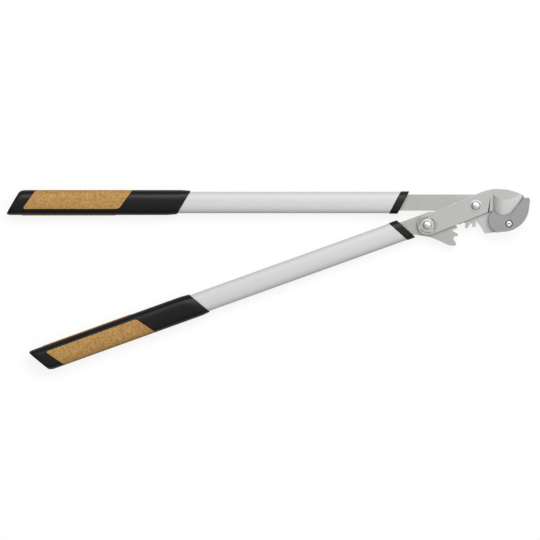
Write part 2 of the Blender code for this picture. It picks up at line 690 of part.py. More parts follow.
def make_anvil(cast, bright):
    outline = anvil_back() + anvil_nose() + lip_line() + cheek_arc()
    bottom = TANG_TOP + SEAT_GAP
    mesh = plate_mesh("anvil", outline, bottom, ANVIL_TOP, (), PLATE_CHAMFER)
    finish_mesh(mesh, cast)
    anvil = add_object("anvil", mesh, PARTS)
    pocket = plate_mesh("pocket_cutter", pocket_outline(), bottom - OVERSHOOT, LIP_FOOT)
    cut(anvil, add_object("pocket_cutter", pocket, CUTTERS))
    recess = plate_mesh("recess_cutter", circle(ANVIL_SCREW, COUNTERBORE_RADIUS, BORE_SIDES),
                        ANVIL_TOP - COUNTERBORE_DEPTH, ANVIL_TOP + OVERSHOOT)
    cut(anvil, add_object("recess_cutter", recess, CUTTERS))
    bore = plate_mesh("bore_cutter", circle(ANVIL_SCREW, SCREW_RADIUS + SEAT_GAP, SMALL_SIDES),
                      bottom - OVERSHOOT, ANVIL_TOP + OVERSHOOT)
    cut(anvil, add_object("bore_cutter", bore, CUTTERS))
    peg = plate_mesh("peg", circle(ANVIL_PEG, PEG_RADIUS, SMALL_SIDES), bottom - PEG_LENGTH,
                     bottom + OVERSHOOT)
    cut(anvil, add_object("peg", peg, CUTTERS), "UNION")

    seat = ANVIL_TOP - COUNTERBORE_DEPTH + SEAT_GAP
    top = seat + SCREW_HEAD_HEIGHT
    profile = [(0.0, top)]
    profile += [(SCREW_HEAD_RADIUS * math.sin(a), top - SCREW_DOME * (1.0 - math.cos(a)))
                for a in (math.radians(30.0), math.radians(60.0), math.radians(90.0))]
    profile += [(SCREW_HEAD_RADIUS, seat), (SCREW_RADIUS, seat),
                (SCREW_RADIUS, TANG_FOOT + SEAT_GAP), (0.0, TANG_FOOT + SEAT_GAP)]
    screw = turned("anvil_screw", profile, ANVIL_SCREW, bright, None)
    socket_radius = SCREW_SOCKET_FLATS / 2.0 / math.cos(math.pi / 6.0)
    socket = plate_mesh("socket_cutter", circle(ANVIL_SCREW, socket_radius, 6),
                        top - SCREW_SOCKET_DEPTH, top + OVERSHOOT)
    cut(screw, add_object("socket_cutter", socket, CUTTERS))


# Pivots

def dome_profile(seat, flange_radius):
    # A low flange and a domed head above a seat, as radius and height pairs.
    rim = seat + FLANGE_HEIGHT
    profile = [(0.0, rim + HEAD_HEIGHT)]
    for step in range(1, DOME_STEPS + 1):
        angle = math.pi / 2.0 * step / DOME_STEPS
        profile.append((HEAD_RADIUS * math.sin(angle), rim + HEAD_HEIGHT * math.cos(angle)))
    profile += [(flange_radius, rim), (flange_radius, seat)]
    return profile


def make_pivot(prefix, centre, seat, materials, frame):
    # One bolt with its bushing, washer and nut; the seat is what the head bears on.
    profile = dome_profile(seat, FLANGE_RADIUS)
    profile += [(BOLT_RADIUS, seat), (BOLT_RADIUS, TAIL_Z + TURNED_CHAMFER),
                (BOLT_RADIUS - TURNED_CHAMFER, TAIL_Z), (0.0, TAIL_Z)]
    turned(prefix + "_bolt", profile, centre, materials["bright"], frame)

    bore = BOLT_RADIUS + SEAT_GAP
    profile = [(bore, TANG_TOP), (BUSHING_RADIUS, TANG_TOP), (BUSHING_RADIUS, TANG_FOOT),
               (bore, TANG_FOOT)]
    turned(prefix + "_bushing", profile, centre, materials["bronze"], frame)

    profile = [(bore, WASHER_TOP), (WASHER_RADIUS, WASHER_TOP),
               (WASHER_RADIUS, WASHER_TOP - WASHER_HEIGHT), (bore, WASHER_TOP - WASHER_HEIGHT)]
    turned(prefix + "_washer", profile, centre, materials["zinc"], frame)

    hexagon = circle(centre, NUT_FLATS / 2.0 / math.cos(math.pi / 6.0), 6)
    mesh = plate_mesh(prefix + "_nut", hexagon, NUT_TOP - NUT_HEIGHT, NUT_TOP,
                      [circle(centre, bore, BORE_SIDES)])
    finish_mesh(mesh, materials["zinc"])
    add_object(prefix + "_nut", mesh, PARTS, frame)


def make_disc(frame, steel):
    # The raised cap on the blade's round end, with a rim, under the gear pivot's bolt head.
    foot = BLADE_TOP + SEAT_GAP
    top = foot + DISC_HEIGHT
    bore = BOLT_RADIUS + SEAT_GAP
    profile = [(bore, top), (DISC_RADIUS - DISC_RIM - TURNED_CHAMFER, top),
               (DISC_RADIUS - DISC_RIM, top + DISC_RIM_HEIGHT),
               (DISC_RADIUS - TURNED_CHAMFER, top + DISC_RIM_HEIGHT), (DISC_RADIUS, top),
               (DISC_RADIUS, foot), (bore, foot)]
    turned("gear_pivot_disc", profile, GEAR_PIVOT, steel, frame)
    return top + SEAT_GAP


# Handles

def oval_ring(setback, half_width, half_depth, slant, side):
    # A section across the handle, its outer edge leaning towards the jaw.
    ring = []
    power = 2.0 / OVAL_POWER
    for i in range(OVAL_SIDES):
        angle = math.tau * (i + 0.5) / OVAL_SIDES
        across, up = math.cos(angle), math.sin(angle)
        y = half_width * math.copysign(abs(across) ** power, across)
        z = half_depth * math.copysign(abs(up) ** power, up)
        ring.append((-setback + y * math.tan(slant), side * y, z))
    return ring


def grip_section(setback, inset, side, size=1.0):
    # The grip's outer form: a short taper at the mouth, then one oval along its length.
    width, depth = GRIP_WIDTH / 2.0, GRIP_DEPTH / 2.0
    mouth_width = TUBE_WIDTH / 2.0 + SEAT_GAP + GRIP_MOUTH_WALL
    mouth_depth = TUBE_DEPTH / 2.0 + SEAT_GAP + GRIP_MOUTH_WALL
    share = min(1.0, (setback - GRIP_START) / GRIP_TAPER)
    share = math.sin(share * math.pi / 2.0)
    width = mouth_width + (width - mouth_width) * share
    depth = mouth_depth + (depth - mouth_depth) * share
    return oval_ring(setback, width * size - inset, depth * size - inset, GRIP_SLANT, side)


def grip_rings(side):
    rings = [grip_section(GRIP_START + GRIP_TAPER * i / 3.0, 0.0, side) for i in range(4)]
    for before, size in zip(GRIP_NOSE_PLACES, GRIP_NOSE_SHARES):
        rings.append(grip_section(GRIP_END - before, 0.0, side, size))
    return rings


def skin_mesh(name, side, outer_inset, inner_inset):
    # A hollow band in the grip's skin, from which inlays and their pockets are cut.
    first = PAD_START - TUBE_WIDTH
    last = GRIP_END - GRIP_NOSE_PLACES[0]
    rings = [grip_section(last, outer_inset, side), grip_section(first, outer_inset, side),
             grip_section(first, inner_inset, side), grip_section(last, inner_inset, side)]
    return loft_mesh(name, rings, closed=True)


def pad_outline(side, extra):
    # The pad seen from the front: a slanted band with rounded inner corners.
    low = PAD_EDGE - extra
    high = GRIP_WIDTH
    lean = math.tan(PAD_SLANT)
    start = PAD_START - extra / math.cos(PAD_SLANT)
    end = PAD_START + PAD_LENGTH + extra / math.cos(PAD_SLANT)
    radius = PAD_CORNER

    def place(setback, y):
        return (-setback + y * lean, side * y)

    rear = arc((end - radius, low + radius), radius, 0.0, -math.pi / 2.0, CORNER_STEPS)
    front = arc((start + radius, low + radius), radius, -math.pi / 2.0, -math.pi, CORNER_STEPS)
    return [place(*point) for point in [(start, high), (end, high)] + rear + front]


def stripe_mesh(name, side, extra):
    # A block round the middle of the grip's inner edge, which bounds the stripe.
    half = STRIPE_HEIGHT / 2.0 + extra
    near, far = -STRIPE_START + extra, -STRIPE_START - STRIPE_LENGTH - extra
    lean = GRIP_WIDTH / 2.0 * math.tan(GRIP_SLANT)
    outline = [(near - lean, -side * GRIP_WIDTH), (far - lean, -side * GRIP_WIDTH),
               (far - lean, -side * GRIP_WIDTH * STRIPE_INSET),
               (near - lean, -side * GRIP_WIDTH * STRIPE_INSET)]
    return plate_mesh(name, outline, -half, half)


def make_tube(prefix, side, frame, material):
    half_width, half_depth = TUBE_WIDTH / 2.0, TUBE_DEPTH / 2.0
    start = COLLAR_LENGTH + SEAT_GAP
    end = GRIP_END - TUBE_END_ROOM
    wall = (half_width - TUBE_WALL, half_depth - TUBE_WALL)
    rings = [oval_ring(start, half_width, half_depth, TUBE_SLANT, side),
             oval_ring(end, half_width, half_depth, GRIP_SLANT, side),
             oval_ring(end, *wall, GRIP_SLANT, side),
             oval_ring(start, *wall, TUBE_SLANT, side)]
    mesh = loft_mesh(prefix + "_tube", rings, closed=True)
    finish_mesh(mesh, material)
    add_object(prefix + "_tube", mesh, PARTS, frame)


def slot_cutter(prefix, frame):
    # The room for the tang through the collar and the core.
    half = TANG_WIDTH / 2.0 + SEAT_GAP
    end = TANG_INSERT + SEAT_GAP
    front = TUBE_WIDTH
    outline = [(front, -half), (front, half), (-end, half), (-end, -half)]
    mesh = plate_mesh(prefix + "_slot", outline, -TANG_THICKNESS / 2.0 - SEAT_GAP,
                      TANG_THICKNESS / 2.0 + SEAT_GAP)
    return add_object(prefix + "_slot", mesh, CUTTERS, frame)


def make_collar_and_core(prefix, side, frame, plastic, nylon):
    slot = slot_cutter(prefix, frame)
    half_width = TUBE_WIDTH / 2.0 + COLLAR_PROUD
    half_depth = TUBE_DEPTH / 2.0 + COLLAR_PROUD
    edge = COLLAR_CHAMFER
    rings = [oval_ring(0.0, half_width - edge, half_depth - edge, TUBE_SLANT, side),
             oval_ring(edge, half_width, half_depth, TUBE_SLANT, side),
             oval_ring(COLLAR_LENGTH - edge, half_width, half_depth, TUBE_SLANT, side),
             oval_ring(COLLAR_LENGTH, half_width - edge, half_depth - edge, TUBE_SLANT, side)]
    mesh = loft_mesh(prefix + "_collar", rings)
    finish_mesh(mesh, plastic)
    collar = add_object(prefix + "_collar", mesh, PARTS, frame)
    cut(collar, slot)

    inset = TUBE_WALL + SEAT_GAP
    half_width = TUBE_WIDTH / 2.0 - inset
    half_depth = TUBE_DEPTH / 2.0 - inset
    start = COLLAR_LENGTH + SEAT_GAP
    end = TANG_INSERT + CORE_OVERRUN
    rings = [oval_ring(setback, half_width, half_depth, TUBE_SLANT, side)
             for setback in (start, end)]
    mesh = loft_mesh(prefix + "_tang_core", rings)
    finish_mesh(mesh, nylon)
    core = add_object(prefix + "_tang_core", mesh, PARTS, frame)
    cut(core, slot)
    return core


def make_pins(prefix, frame, core, steel):
    # Dowels through the core and the tang, hidden by the tube.
    half = TUBE_DEPTH / 2.0 - TUBE_WALL - PIN_RECESS
    for place, setback in zip(("front", "rear"), PIN_SETBACKS):
        centre = (-setback, 0.0)
        mesh = plate_mesh(prefix + "_pin_" + place, circle(centre, PIN_RADIUS, PIN_SIDES), -half, half)
        finish_mesh(mesh, steel)
        add_object(prefix + "_pin_" + place, mesh, PARTS, frame)
        name = prefix + "_" + place + "_pin_room"
        room = plate_mesh(name, circle(centre, PIN_RADIUS + SEAT_GAP, PIN_SIDES),
                          -TUBE_DEPTH, TUBE_DEPTH)
        cut(core, add_object(name, room, CUTTERS, frame))


def make_grip(prefix, side, frame, materials):
    pocket_room = (TUBE_WIDTH / 2.0 + SEAT_GAP, TUBE_DEPTH / 2.0 + SEAT_GAP)
    end = GRIP_END - TUBE_END_ROOM + SEAT_GAP
    rings = [oval_ring(end, *pocket_room, GRIP_SLANT, side),
             oval_ring(GRIP_START, *pocket_room, GRIP_SLANT, side)]
    mesh = loft_mesh(prefix + "_grip", rings + grip_rings(side))
    finish_mesh(mesh, materials["black"])
    grip = add_object(prefix + "_grip", mesh, PARTS, frame)

    pad_name = prefix + "_cork_pad"
    mesh = skin_mesh(pad_name, side, 0.0, PAD_THICKNESS)
    finish_mesh(mesh, materials["cork"])
    pad = add_object(pad_name, mesh, PARTS, frame)
    reach = GRIP_DEPTH
    border = plate_mesh(prefix + "_pad_border", pad_outline(side, 0.0), -reach, reach)
    cut(pad, add_object(prefix + "_pad_border", border, CUTTERS, frame), "INTERSECT")
    room = add_object(prefix + "_pad_room",
                      skin_mesh(prefix + "_pad_room", side, -OVERSHOOT, PAD_THICKNESS + SEAT_GAP),
                      CUTTERS, frame)
    border = plate_mesh(prefix + "_pad_rim", pad_outline(side, SEAT_GAP), -reach, reach)
    cut(room, add_object(prefix + "_pad_rim", border, CUTTERS, frame), "INTERSECT")
    cut(grip, room)

    stripe_name = prefix + "_grip_stripe"
    mesh = skin_mesh(stripe_name, side, -STRIPE_PROUD, STRIPE_THICKNESS)
    finish_mesh(mesh, materials["orange"])
    stripe = add_object(stripe_name, mesh, PARTS, frame)
    block = stripe_mesh(prefix + "_stripe_border", side, 0.0)
    cut(stripe, add_object(prefix + "_stripe_border", block, CUTTERS, frame), "INTERSECT")
    room = add_object(prefix + "_stripe_room",
                      skin_mesh(prefix + "_stripe_room", side, -OVERSHOOT,
                                STRIPE_THICKNESS + SEAT_GAP), CUTTERS, frame)
    block = stripe_mesh(prefix + "_stripe_rim", side, SEAT_GAP)
    cut(room, add_object(prefix + "_stripe_rim", block, CUTTERS, frame), "INTERSECT")
    cut(grip, room)


def make_handle(prefix, side, frame, materials):
    make_tube(prefix, side, frame, materials["tube"])
    core = make_collar_and_core(prefix, side, frame, materials["black"], materials["nylon"])
    make_pins(prefix, frame, core, materials["zinc"])
    make_grip(prefix, side, frame, materials)


# Assembly

def add_frame(name, location, turn=0.0, parent=None):
    frame = bpy.data.objects.new(name, None)
    PARTS.objects.link(frame)
    frame.parent = parent
    frame.location = location
    frame.rotation_euler = (0.0, 0.0, turn)
    return frame


def main():
    global PARTS, CUTTERS
    PARTS, CUTTERS = reset_scene()
    materials = {
        "steel": make_material("satin_steel", (0.47, 0.48, 0.45), 0.38, 0.85),
        "blade": make_material("ground_steel", (0.52, 0.52, 0.51), 0.30, 0.90),
        "cast": make_material("cast_anvil", (0.34, 0.34, 0.34), 0.50, 0.70),
        "bright": make_material("bright_steel", (0.72, 0.72, 0.72), 0.18, 1.00),
        "bronze": make_material("bearing_bronze", (0.55, 0.38, 0.20), 0.35, 1.00),
        "zinc": make_material("zinc_plate", (0.62, 0.63, 0.64), 0.35, 0.95),
        "tube": make_material("handle_tube", (0.68, 0.68, 0.68), 0.30, 0.60),
        "black": make_material("black_plastic", (0.014, 0.014, 0.015), 0.42, 0.00),
        "nylon": make_material("core_nylon", (0.05, 0.05, 0.055), 0.55, 0.00),
        "cork": make_material("pressed_cork", (0.46, 0.26, 0.09), 0.85, 0.00),
        "orange": make_material("orange_stripe", (0.90, 0.25, 0.02), 0.45, 0.00),
    }
    frames = {"main_pivot": add_frame("main_pivot_axis", (0.0, 0.0, 0.0))}
    frames["gear_pivot"] = add_frame("gear_pivot_axis", (*GEAR_PIVOT, 0.0))
    upper = add_frame("upper_handle_frame", (-UPPER_COLLAR_REACH, UPPER_AXIS_OFFSET, MID_Z))
    place = lower_place(-LOWER_COLLAR_REACH, -LOWER_AXIS_OFFSET)
    lower = add_frame("lower_handle_frame",
                      (place[0] - GEAR_PIVOT[0], place[1] - GEAR_PIVOT[1], MID_Z),
                      HANDLE_SPREAD, frames["gear_pivot"])
    bpy.context.view_layer.update()

    make_tangs(frames, materials["steel"])
    make_anvil(materials["cast"], materials["bright"])
    make_blade(frames, materials["blade"])
    make_back_link(frames, materials["steel"])
    make_pivot("main_pivot", (0.0, 0.0), BLADE_TOP + SEAT_GAP, materials, frames["main_pivot"])
    seat = make_disc(frames["main_pivot"], materials["steel"])
    make_pivot("gear_pivot", GEAR_PIVOT, seat, materials, frames["main_pivot"])
    make_handle("upper", 1.0, upper, materials)
    make_handle("lower", -1.0, lower, materials)


main()
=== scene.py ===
import json
import math

import bpy
from mathutils import Matrix, Vector


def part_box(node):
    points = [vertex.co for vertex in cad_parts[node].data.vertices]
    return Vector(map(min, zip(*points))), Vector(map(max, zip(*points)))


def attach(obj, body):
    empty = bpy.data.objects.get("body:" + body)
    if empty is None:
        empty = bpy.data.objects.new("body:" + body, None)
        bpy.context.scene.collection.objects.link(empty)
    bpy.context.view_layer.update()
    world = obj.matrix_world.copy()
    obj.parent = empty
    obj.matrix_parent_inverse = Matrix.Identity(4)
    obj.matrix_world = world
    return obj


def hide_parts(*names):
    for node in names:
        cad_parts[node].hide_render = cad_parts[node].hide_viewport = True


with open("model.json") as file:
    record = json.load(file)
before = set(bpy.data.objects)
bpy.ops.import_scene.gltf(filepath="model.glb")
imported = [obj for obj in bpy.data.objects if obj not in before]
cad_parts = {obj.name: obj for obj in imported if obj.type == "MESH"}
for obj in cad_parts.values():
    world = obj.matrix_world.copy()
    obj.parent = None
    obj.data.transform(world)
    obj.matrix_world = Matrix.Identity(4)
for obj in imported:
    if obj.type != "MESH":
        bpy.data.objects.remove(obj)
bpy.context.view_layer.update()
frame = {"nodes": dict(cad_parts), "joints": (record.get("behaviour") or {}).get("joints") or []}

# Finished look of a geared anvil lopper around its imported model. Metres, in the model's frame:
# X to the jaw, Y to the upper handle's outer side, Z from the floor up to the blade.

pivots = {joint["name"]: Vector(joint["pos_m"]) for joint in frame["joints"]}
mainPivot = pivots["blade_pivot"]
gearPivot = pivots["handle_pivot"]
linkTurn = math.atan2(mainPivot.y - gearPivot.y, mainPivot.x - gearPivot.x)
weldDistance = 0.000002
flatAngle = math.radians(0.05)      # CAD facets that turn less than this are one flat face
# how far a face looks up or down: a plate's flat side, its wall and its ground bevel
faceSlopes = {"flat": 0.9995, "wall": 0.30, "groundFrom": 0.80, "groundTo": 0.9985}


def nodeSize(node):
    low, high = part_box(node)
    return high - low


def nodeTop(node):
    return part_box(node)[1].z


def nodeFoot(node):
    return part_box(node)[0].z


# Modelling steps that every piece uses

def pick(piece):
    bpy.ops.object.select_all(action="DESELECT")
    piece.select_set(True)
    bpy.context.view_layer.objects.active = piece


def openMesh(piece):
    pick(piece)
    bpy.ops.object.mode_set(mode="EDIT")
    bpy.ops.mesh.select_all(action="SELECT")


def openEmpty(piece, kind):
    # edit mode with nothing selected, for picking vertices, edges or faces
    openMesh(piece)
    bpy.ops.mesh.select_mode(type=kind)
    bpy.ops.mesh.select_all(action="DESELECT")


def closeMesh():
    bpy.ops.object.mode_set(mode="OBJECT")


def settle(piece):
    # the piece's place goes into its mesh, and its faces point outwards
    pick(piece)
    bpy.ops.object.transform_apply(location=True, rotation=True, scale=True)
    openMesh(piece)
    bpy.ops.mesh.remove_doubles(threshold=weldDistance)
    bpy.ops.mesh.normals_make_consistent(inside=False)
    closeMesh()
    return piece


def applied(piece, kind, **settings):
    pick(piece)
    modifier = piece.modifiers.new(kind.lower(), kind)
    for name, value in settings.items():
        setattr(modifier, name, value)
    bpy.ops.object.modifier_apply(modifier=modifier.name)


def rounded(piece, width, segments=3, angle=35.0):
    applied(piece, "BEVEL", width=width, segments=segments, limit_method="ANGLE",
            angle_limit=math.radians(angle), use_clamp_overlap=False)


def pickEdges(piece, wanted):
    # edit mode with the edges selected for which wanted(flatter, steeper, middle) holds: how far
    # the two faces beside an edge look up or down, and the edge's middle
    openEmpty(piece, "EDGE")
    closeMesh()
    beside = {}
    for face in piece.data.polygons:
        for key in face.edge_keys:
            beside.setdefault(key, []).append(abs(face.normal.z))
    for edge in piece.data.edges:
        slopes = beside.get(tuple(sorted(edge.vertices)), [])
        middle = sum((piece.data.vertices[i].co for i in edge.vertices), Vector()) / 2.0
        edge.select = len(slopes) == 2 and wanted(max(slopes), min(slopes), middle)
    bpy.ops.object.mode_set(mode="EDIT")


def rimmed(piece, width, segments=3, above=-1.0, away=()):
    # rounds the edges between a plate's flat faces and its walls, and no others: those above a
    # height and outside some (centre, radius) circles
    def isRim(flatter, steeper, middle):
        clear = all((middle - centre).xy.length > radius for centre, radius in away)
        upright = flatter > faceSlopes["flat"] and steeper < faceSlopes["wall"]
        return upright and middle.z > above and clear

    pickEdges(piece, isRim)
    bpy.ops.mesh.bevel(offset=width, segments=segments, profile=0.5, affect="EDGES",
                       clamp_overlap=False)
    bpy.ops.mesh.select_mode(type="VERT")
    closeMesh()


def creased(piece):
    # a crisp line where a flat face turns into a ground one
    def isCrease(flatter, steeper, middle):
        return flatter > faceSlopes["flat"] and faceSlopes["groundFrom"] < steeper < faceSlopes["groundTo"]

    pickEdges(piece, isCrease)
    bpy.ops.mesh.mark_sharp()
    bpy.ops.mesh.select_mode(type="VERT")
    closeMesh()


def combined(piece, tool, operation):
    applied(piece, "BOOLEAN", operation=operation, object=tool, solver="EXACT")
    bpy.data.objects.remove(tool, do_unlink=True)


def splitFaces(piece):
    # large faces with holes and notches render cleanly only as triangles
    openEmpty(piece, "FACE")
    bpy.ops.mesh.select_face_by_sides(number=4, type="GREATER")
    bpy.ops.mesh.quads_convert_to_tris(quad_method="BEAUTY", ngon_method="BEAUTY")
    bpy.ops.mesh.select_mode(type="VERT")
    closeMesh()


def painted(piece, material):
    piece.data.materials.clear()
    piece.data.materials.append(material)


def finished(piece, body, material, covers, smooth=32.0):
    splitFaces(piece)
    painted(piece, material)
    bpy.ops.object.shade_smooth_by_angle(angle=math.radians(smooth))
    applied(piece, "WEIGHTED_NORMAL", mode="FACE_AREA", weight=80, keep_sharp=True)
    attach(piece, body)
    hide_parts(*covers)
    print("piece", piece.name, len(piece.data.polygons), "faces")


def copiedNode(name, node):
    # a welded copy of a CAD node, with its flat faces in one piece again
    piece = bpy.data.objects.new(name, frame["nodes"][node].data.copy())
    bpy.context.scene.collection.objects.link(piece)
    pick(piece)
    bpy.ops.mesh.customdata_custom_splitnormals_clear()
    openMesh(piece)
    bpy.ops.mesh.remove_doubles(threshold=weldDistance)
    bpy.ops.mesh.dissolve_limited(angle_limit=flatAngle)
    closeMesh()
    return piece


def startFrom(operator, name, **settings):
    # the primitive that a piece is modelled from, at the origin unless a location is given
    bpy.ops.object.select_all(action="DESELECT")
    operator(**{"location": (0.0, 0.0, 0.0), **settings})
    piece = bpy.context.active_object
    piece.name = name
    return piece


def turnedPiece(name, profile, centre, sides=96):
    # (radius, height) pairs drawn point by point and spun round an upright axis
    piece = startFrom(bpy.ops.mesh.primitive_plane_add, name, size=0.001)
    openMesh(piece)
    bpy.ops.mesh.merge(type="CENTER")
    bpy.ops.transform.translate(value=(profile[0][0], 0.0, profile[0][1]))
    for (radius, height), (nextRadius, nextHeight) in zip(profile, profile[1:]):
        step = (nextRadius - radius, 0.0, nextHeight - height)
        bpy.ops.mesh.extrude_vertices_move(TRANSFORM_OT_translate={"value": step})
    bpy.ops.mesh.select_all(action="SELECT")
    bpy.ops.mesh.spin(steps=sides, angle=math.tau, center=(0.0, 0.0, 0.0), axis=(0.0, 0.0, 1.0))
    closeMesh()
    piece.location = (centre.x, centre.y, 0.0)
    return settle(piece)


# Handles: both are drawn on the X axis from the collar's front face backwards, and then placed
# the collar's reach is from a handle's pivot back to the collar; power says how square the oval is
handleForm = {"power": 2.35, "sides": 96, "seat": 0.00025,
              "tubeSlant": math.radians(28.0), "gripSlant": math.radians(30.5),
              "upperReach": 0.1106, "upperOffset": 0.0053,
              "lowerReach": 0.03205, "lowerOffset": 0.0059, "lowerTurn": math.radians(19.8)}
tubeWidth = nodeSize("upper_tube").y
tubeDepth = nodeSize("upper_tube").z
gripWidth = nodeSize("upper_grip").y
gripDepth = nodeSize("upper_grip").z


def handlePlace(prefix):
    turn = 0.0
    along, outward = -handleForm["upperReach"], handleForm["upperOffset"]
    spot = Vector((along, outward, mainPivot.z))
    if prefix == "lower":
        turn = handleForm["lowerTurn"]
        along, outward = -handleForm["lowerReach"], -handleForm["lowerOffset"]
        spot = gearPivot + Vector((along * math.cos(turn) + outward * math.sin(turn),
                                   along * math.sin(turn) - outward * math.cos(turn), 0.0))
    mirror = -1.0 if prefix == "lower" else 1.0
    return (Matrix.Translation(spot) @ Matrix.Rotation(turn, 4, "Z")
            @ Matrix.Diagonal((1.0, mirror, 1.0, 1.0)))


def ovalPiece(name, rings):
    # rings of (setback, half width, half depth), each extruded from the one before
    setback, halfWidth, halfDepth = rings[0]
    piece = startFrom(bpy.ops.mesh.primitive_circle_add, name, vertices=handleForm["sides"], radius=1.0,
                      fill_type="NGON", rotation=(0.0, math.pi / 2.0, 0.0))
    bpy.ops.object.transform_apply(location=True, rotation=True, scale=True)
    power = 2.0 / handleForm["power"]
    for vertex in piece.data.vertices:
        across, up = vertex.co.y, vertex.co.z
        vertex.co = (-setback, halfWidth * math.copysign(abs(across) ** power, across),
                     halfDepth * math.copysign(abs(up) ** power, up))
    openMesh(piece)
    for before, after in zip(rings, rings[1:]):
        step = (before[0] - after[0], 0.0, 0.0)
        bpy.ops.mesh.extrude_region_move(TRANSFORM_OT_translate={"value": step})
        bpy.ops.transform.resize(value=(1.0, after[1] / before[1], after[2] / before[2]),
                                 center_override=(0.0, 0.0, 0.0))
    closeMesh()
    return piece


def leaned(piece, frontSlant, rearSlant=None, front=0.0, rear=1.0):
    # the outer side moves towards the jaw, by a slant that may change along the piece
    for vertex in piece.data.vertices:
        slant = frontSlant
        if rearSlant is not None:
            share = min(1.0, max(0.0, (-vertex.co.x - front) / (rear - front)))
            slant += (rearSlant - frontSlant) * share
        vertex.co.x += vertex.co.y * math.tan(slant)


def onHandle(piece, prefix):
    piece.matrix_world = handlePlace(prefix)
    settle(piece)


def steps(start, end, count):
    return [start + (end - start) * i / count for i in range(count + 1)]


def quarterTurn(count, first=0):
    # sine and cosine at even steps of a right angle
    angles = [math.pi / 2.0 * i / count for i in range(first, count + 1)]
    return [(math.sin(angle), math.cos(angle)) for angle in angles]


# Materials

def newMaterial(name, form):
    material = bpy.data.materials.new(name)
    material.use_nodes = True
    shader = material.node_tree.nodes["Principled BSDF"]
    shader.inputs["Base Color"].default_value = (*form["colour"], 1.0)
    shader.inputs["Roughness"].default_value = form["roughness"]
    shader.inputs["Metallic"].default_value = form.get("metallic", 0.0)
    if "specular" in form:
        shader.inputs["Specular IOR Level"].default_value = form["specular"]
    return material, material.node_tree


def added(tree, kind, settings=None, **values):
    # a new node: its inputs by name, or as i and a number, each with a value or a socket
    node = tree.nodes.new(kind)
    for name, value in (settings or {}).items():
        setattr(node, name, value)
    for name, value in values.items():
        socket = node.inputs[int(name[1:]) if name[1:].isdigit() else name]
        if isinstance(value, bpy.types.NodeSocket):
            tree.links.new(value, socket)
        else:
            socket.default_value = value
    return node


def worked(tree, operation, *given):
    # a math node on sockets and numbers
    inputs = {"i" + str(place): value for place, value in enumerate(given)}
    return added(tree, "ShaderNodeMath", {"operation": operation}, **inputs).outputs[0]


def vectorWorked(tree, operation, *given):
    # the same on vectors; the node comes back, because a length is in its second output
    inputs = {"i" + str(place): value for place, value in enumerate(given)}
    return added(tree, "ShaderNodeVectorMath", {"operation": operation}, **inputs)


def ranged(tree, source, low, high, fromLow=0.3, fromHigh=0.7):
    return added(tree, "ShaderNodeMapRange", i0=source, i1=fromLow, i2=fromHigh, i3=low, i4=high).outputs[0]


def blended(tree, share, first, second):
    # a value between two others, by a number or a mask
    return added(tree, "ShaderNodeMix", {"data_type": "FLOAT"}, i0=share, i2=first, i3=second).outputs[0]


def mixed(tree, mask, under, over):
    # a colour laid over another where a mask says so; a fixed colour is a tuple
    under, over = [(*colour, 1.0) if isinstance(colour, tuple) else colour for colour in (under, over)]
    return added(tree, "ShaderNodeMix", {"data_type": "RGBA"}, i0=mask, i6=under, i7=over).outputs[2]


def noised(tree, place, scale, detail, roughness=0.5):
    return added(tree, "ShaderNodeTexNoise", Vector=place, Scale=scale, Detail=detail, Roughness=roughness)


def axesOf(tree, vector):
    return added(tree, "ShaderNodeSeparateXYZ", i0=vector).outputs


def newGroup(name, given, results):
    # a shader group on a place: its numbers, where None stands for one more vector, and its results
    group = bpy.data.node_groups.new(name, "ShaderNodeTree")
    for label, value in {"Vector": None, **given}.items():
        kind = "NodeSocketVector" if value is None else "NodeSocketFloat"
        socket = group.interface.new_socket(label, in_out="INPUT", socket_type=kind)
        if value is not None:
            socket.default_value = value
    for label in results:
        group.interface.new_socket(label, in_out="OUTPUT", socket_type="NodeSocketFloat")
    return group, group.nodes.new("NodeGroupInput").outputs


def closedGroup(group, **results):
    added(group, "NodeGroupOutput", **results)
    return group


def lineGrainGroup():
    # long fine lines, as left by a belt or a drawing die
    group, given = newGroup("lineGrain", {"Turn": 0.0, "Density": 1500.0, "Stretch": 0.03}, ["Lines"])
    turned = added(group, "ShaderNodeVectorRotate", {"rotation_type": "Z_AXIS"}, Vector=given["Vector"],
                   Angle=worked(group, "MULTIPLY", given["Turn"], -1.0))
    shrink = added(group, "ShaderNodeCombineXYZ", i0=given["Stretch"], i1=1.0, i2=1.0)
    narrow = vectorWorked(group, "MULTIPLY", turned.outputs[0], shrink.outputs[0])
    noise = noised(group, narrow.outputs[0], given["Density"], 3.0, 0.6)
    return closedGroup(group, Lines=noise.outputs["Fac"])


def mottleGroup():
    # soft patches with a finer speckle on them
    group, given = newGroup("mottle", {"Patch": 60.0, "Speckle": 900.0, "Share": 0.5}, ["Tone"])
    patch = noised(group, given["Vector"], given["Patch"], 2.0)
    speckle = noised(group, given["Vector"], given["Speckle"], 3.0, 0.65)
    tone = blended(group, given["Share"], patch.outputs["Fac"], speckle.outputs["Fac"])
    return closedGroup(group, Tone=tone)


def edgeWearGroup():
    # where a rounded normal leaves the true one, broken up by noise: the edges that are painted lighter for
    # wear and as a painted highlight
    group, given = newGroup("edgeWearAndHighlight", {"Radius": 0.0005, "Breakup": 400.0}, ["Wear"])
    bevel = added(group, "ShaderNodeBevel", {"samples": 4}, Radius=given["Radius"])
    geometry = group.nodes.new("ShaderNodeNewGeometry")
    match = vectorWorked(group, "DOT_PRODUCT", bevel.outputs[0], geometry.outputs["Normal"])
    edge = ranged(group, match.outputs["Value"], 0.0, 1.0, 0.99, 0.80)
    noise = noised(group, given["Vector"], given["Breakup"], 3.0, 0.7)
    rough = ranged(group, noise.outputs["Fac"], 0.35, 1.0, 0.35, 0.65)
    return closedGroup(group, Wear=worked(group, "MULTIPLY", edge, rough))


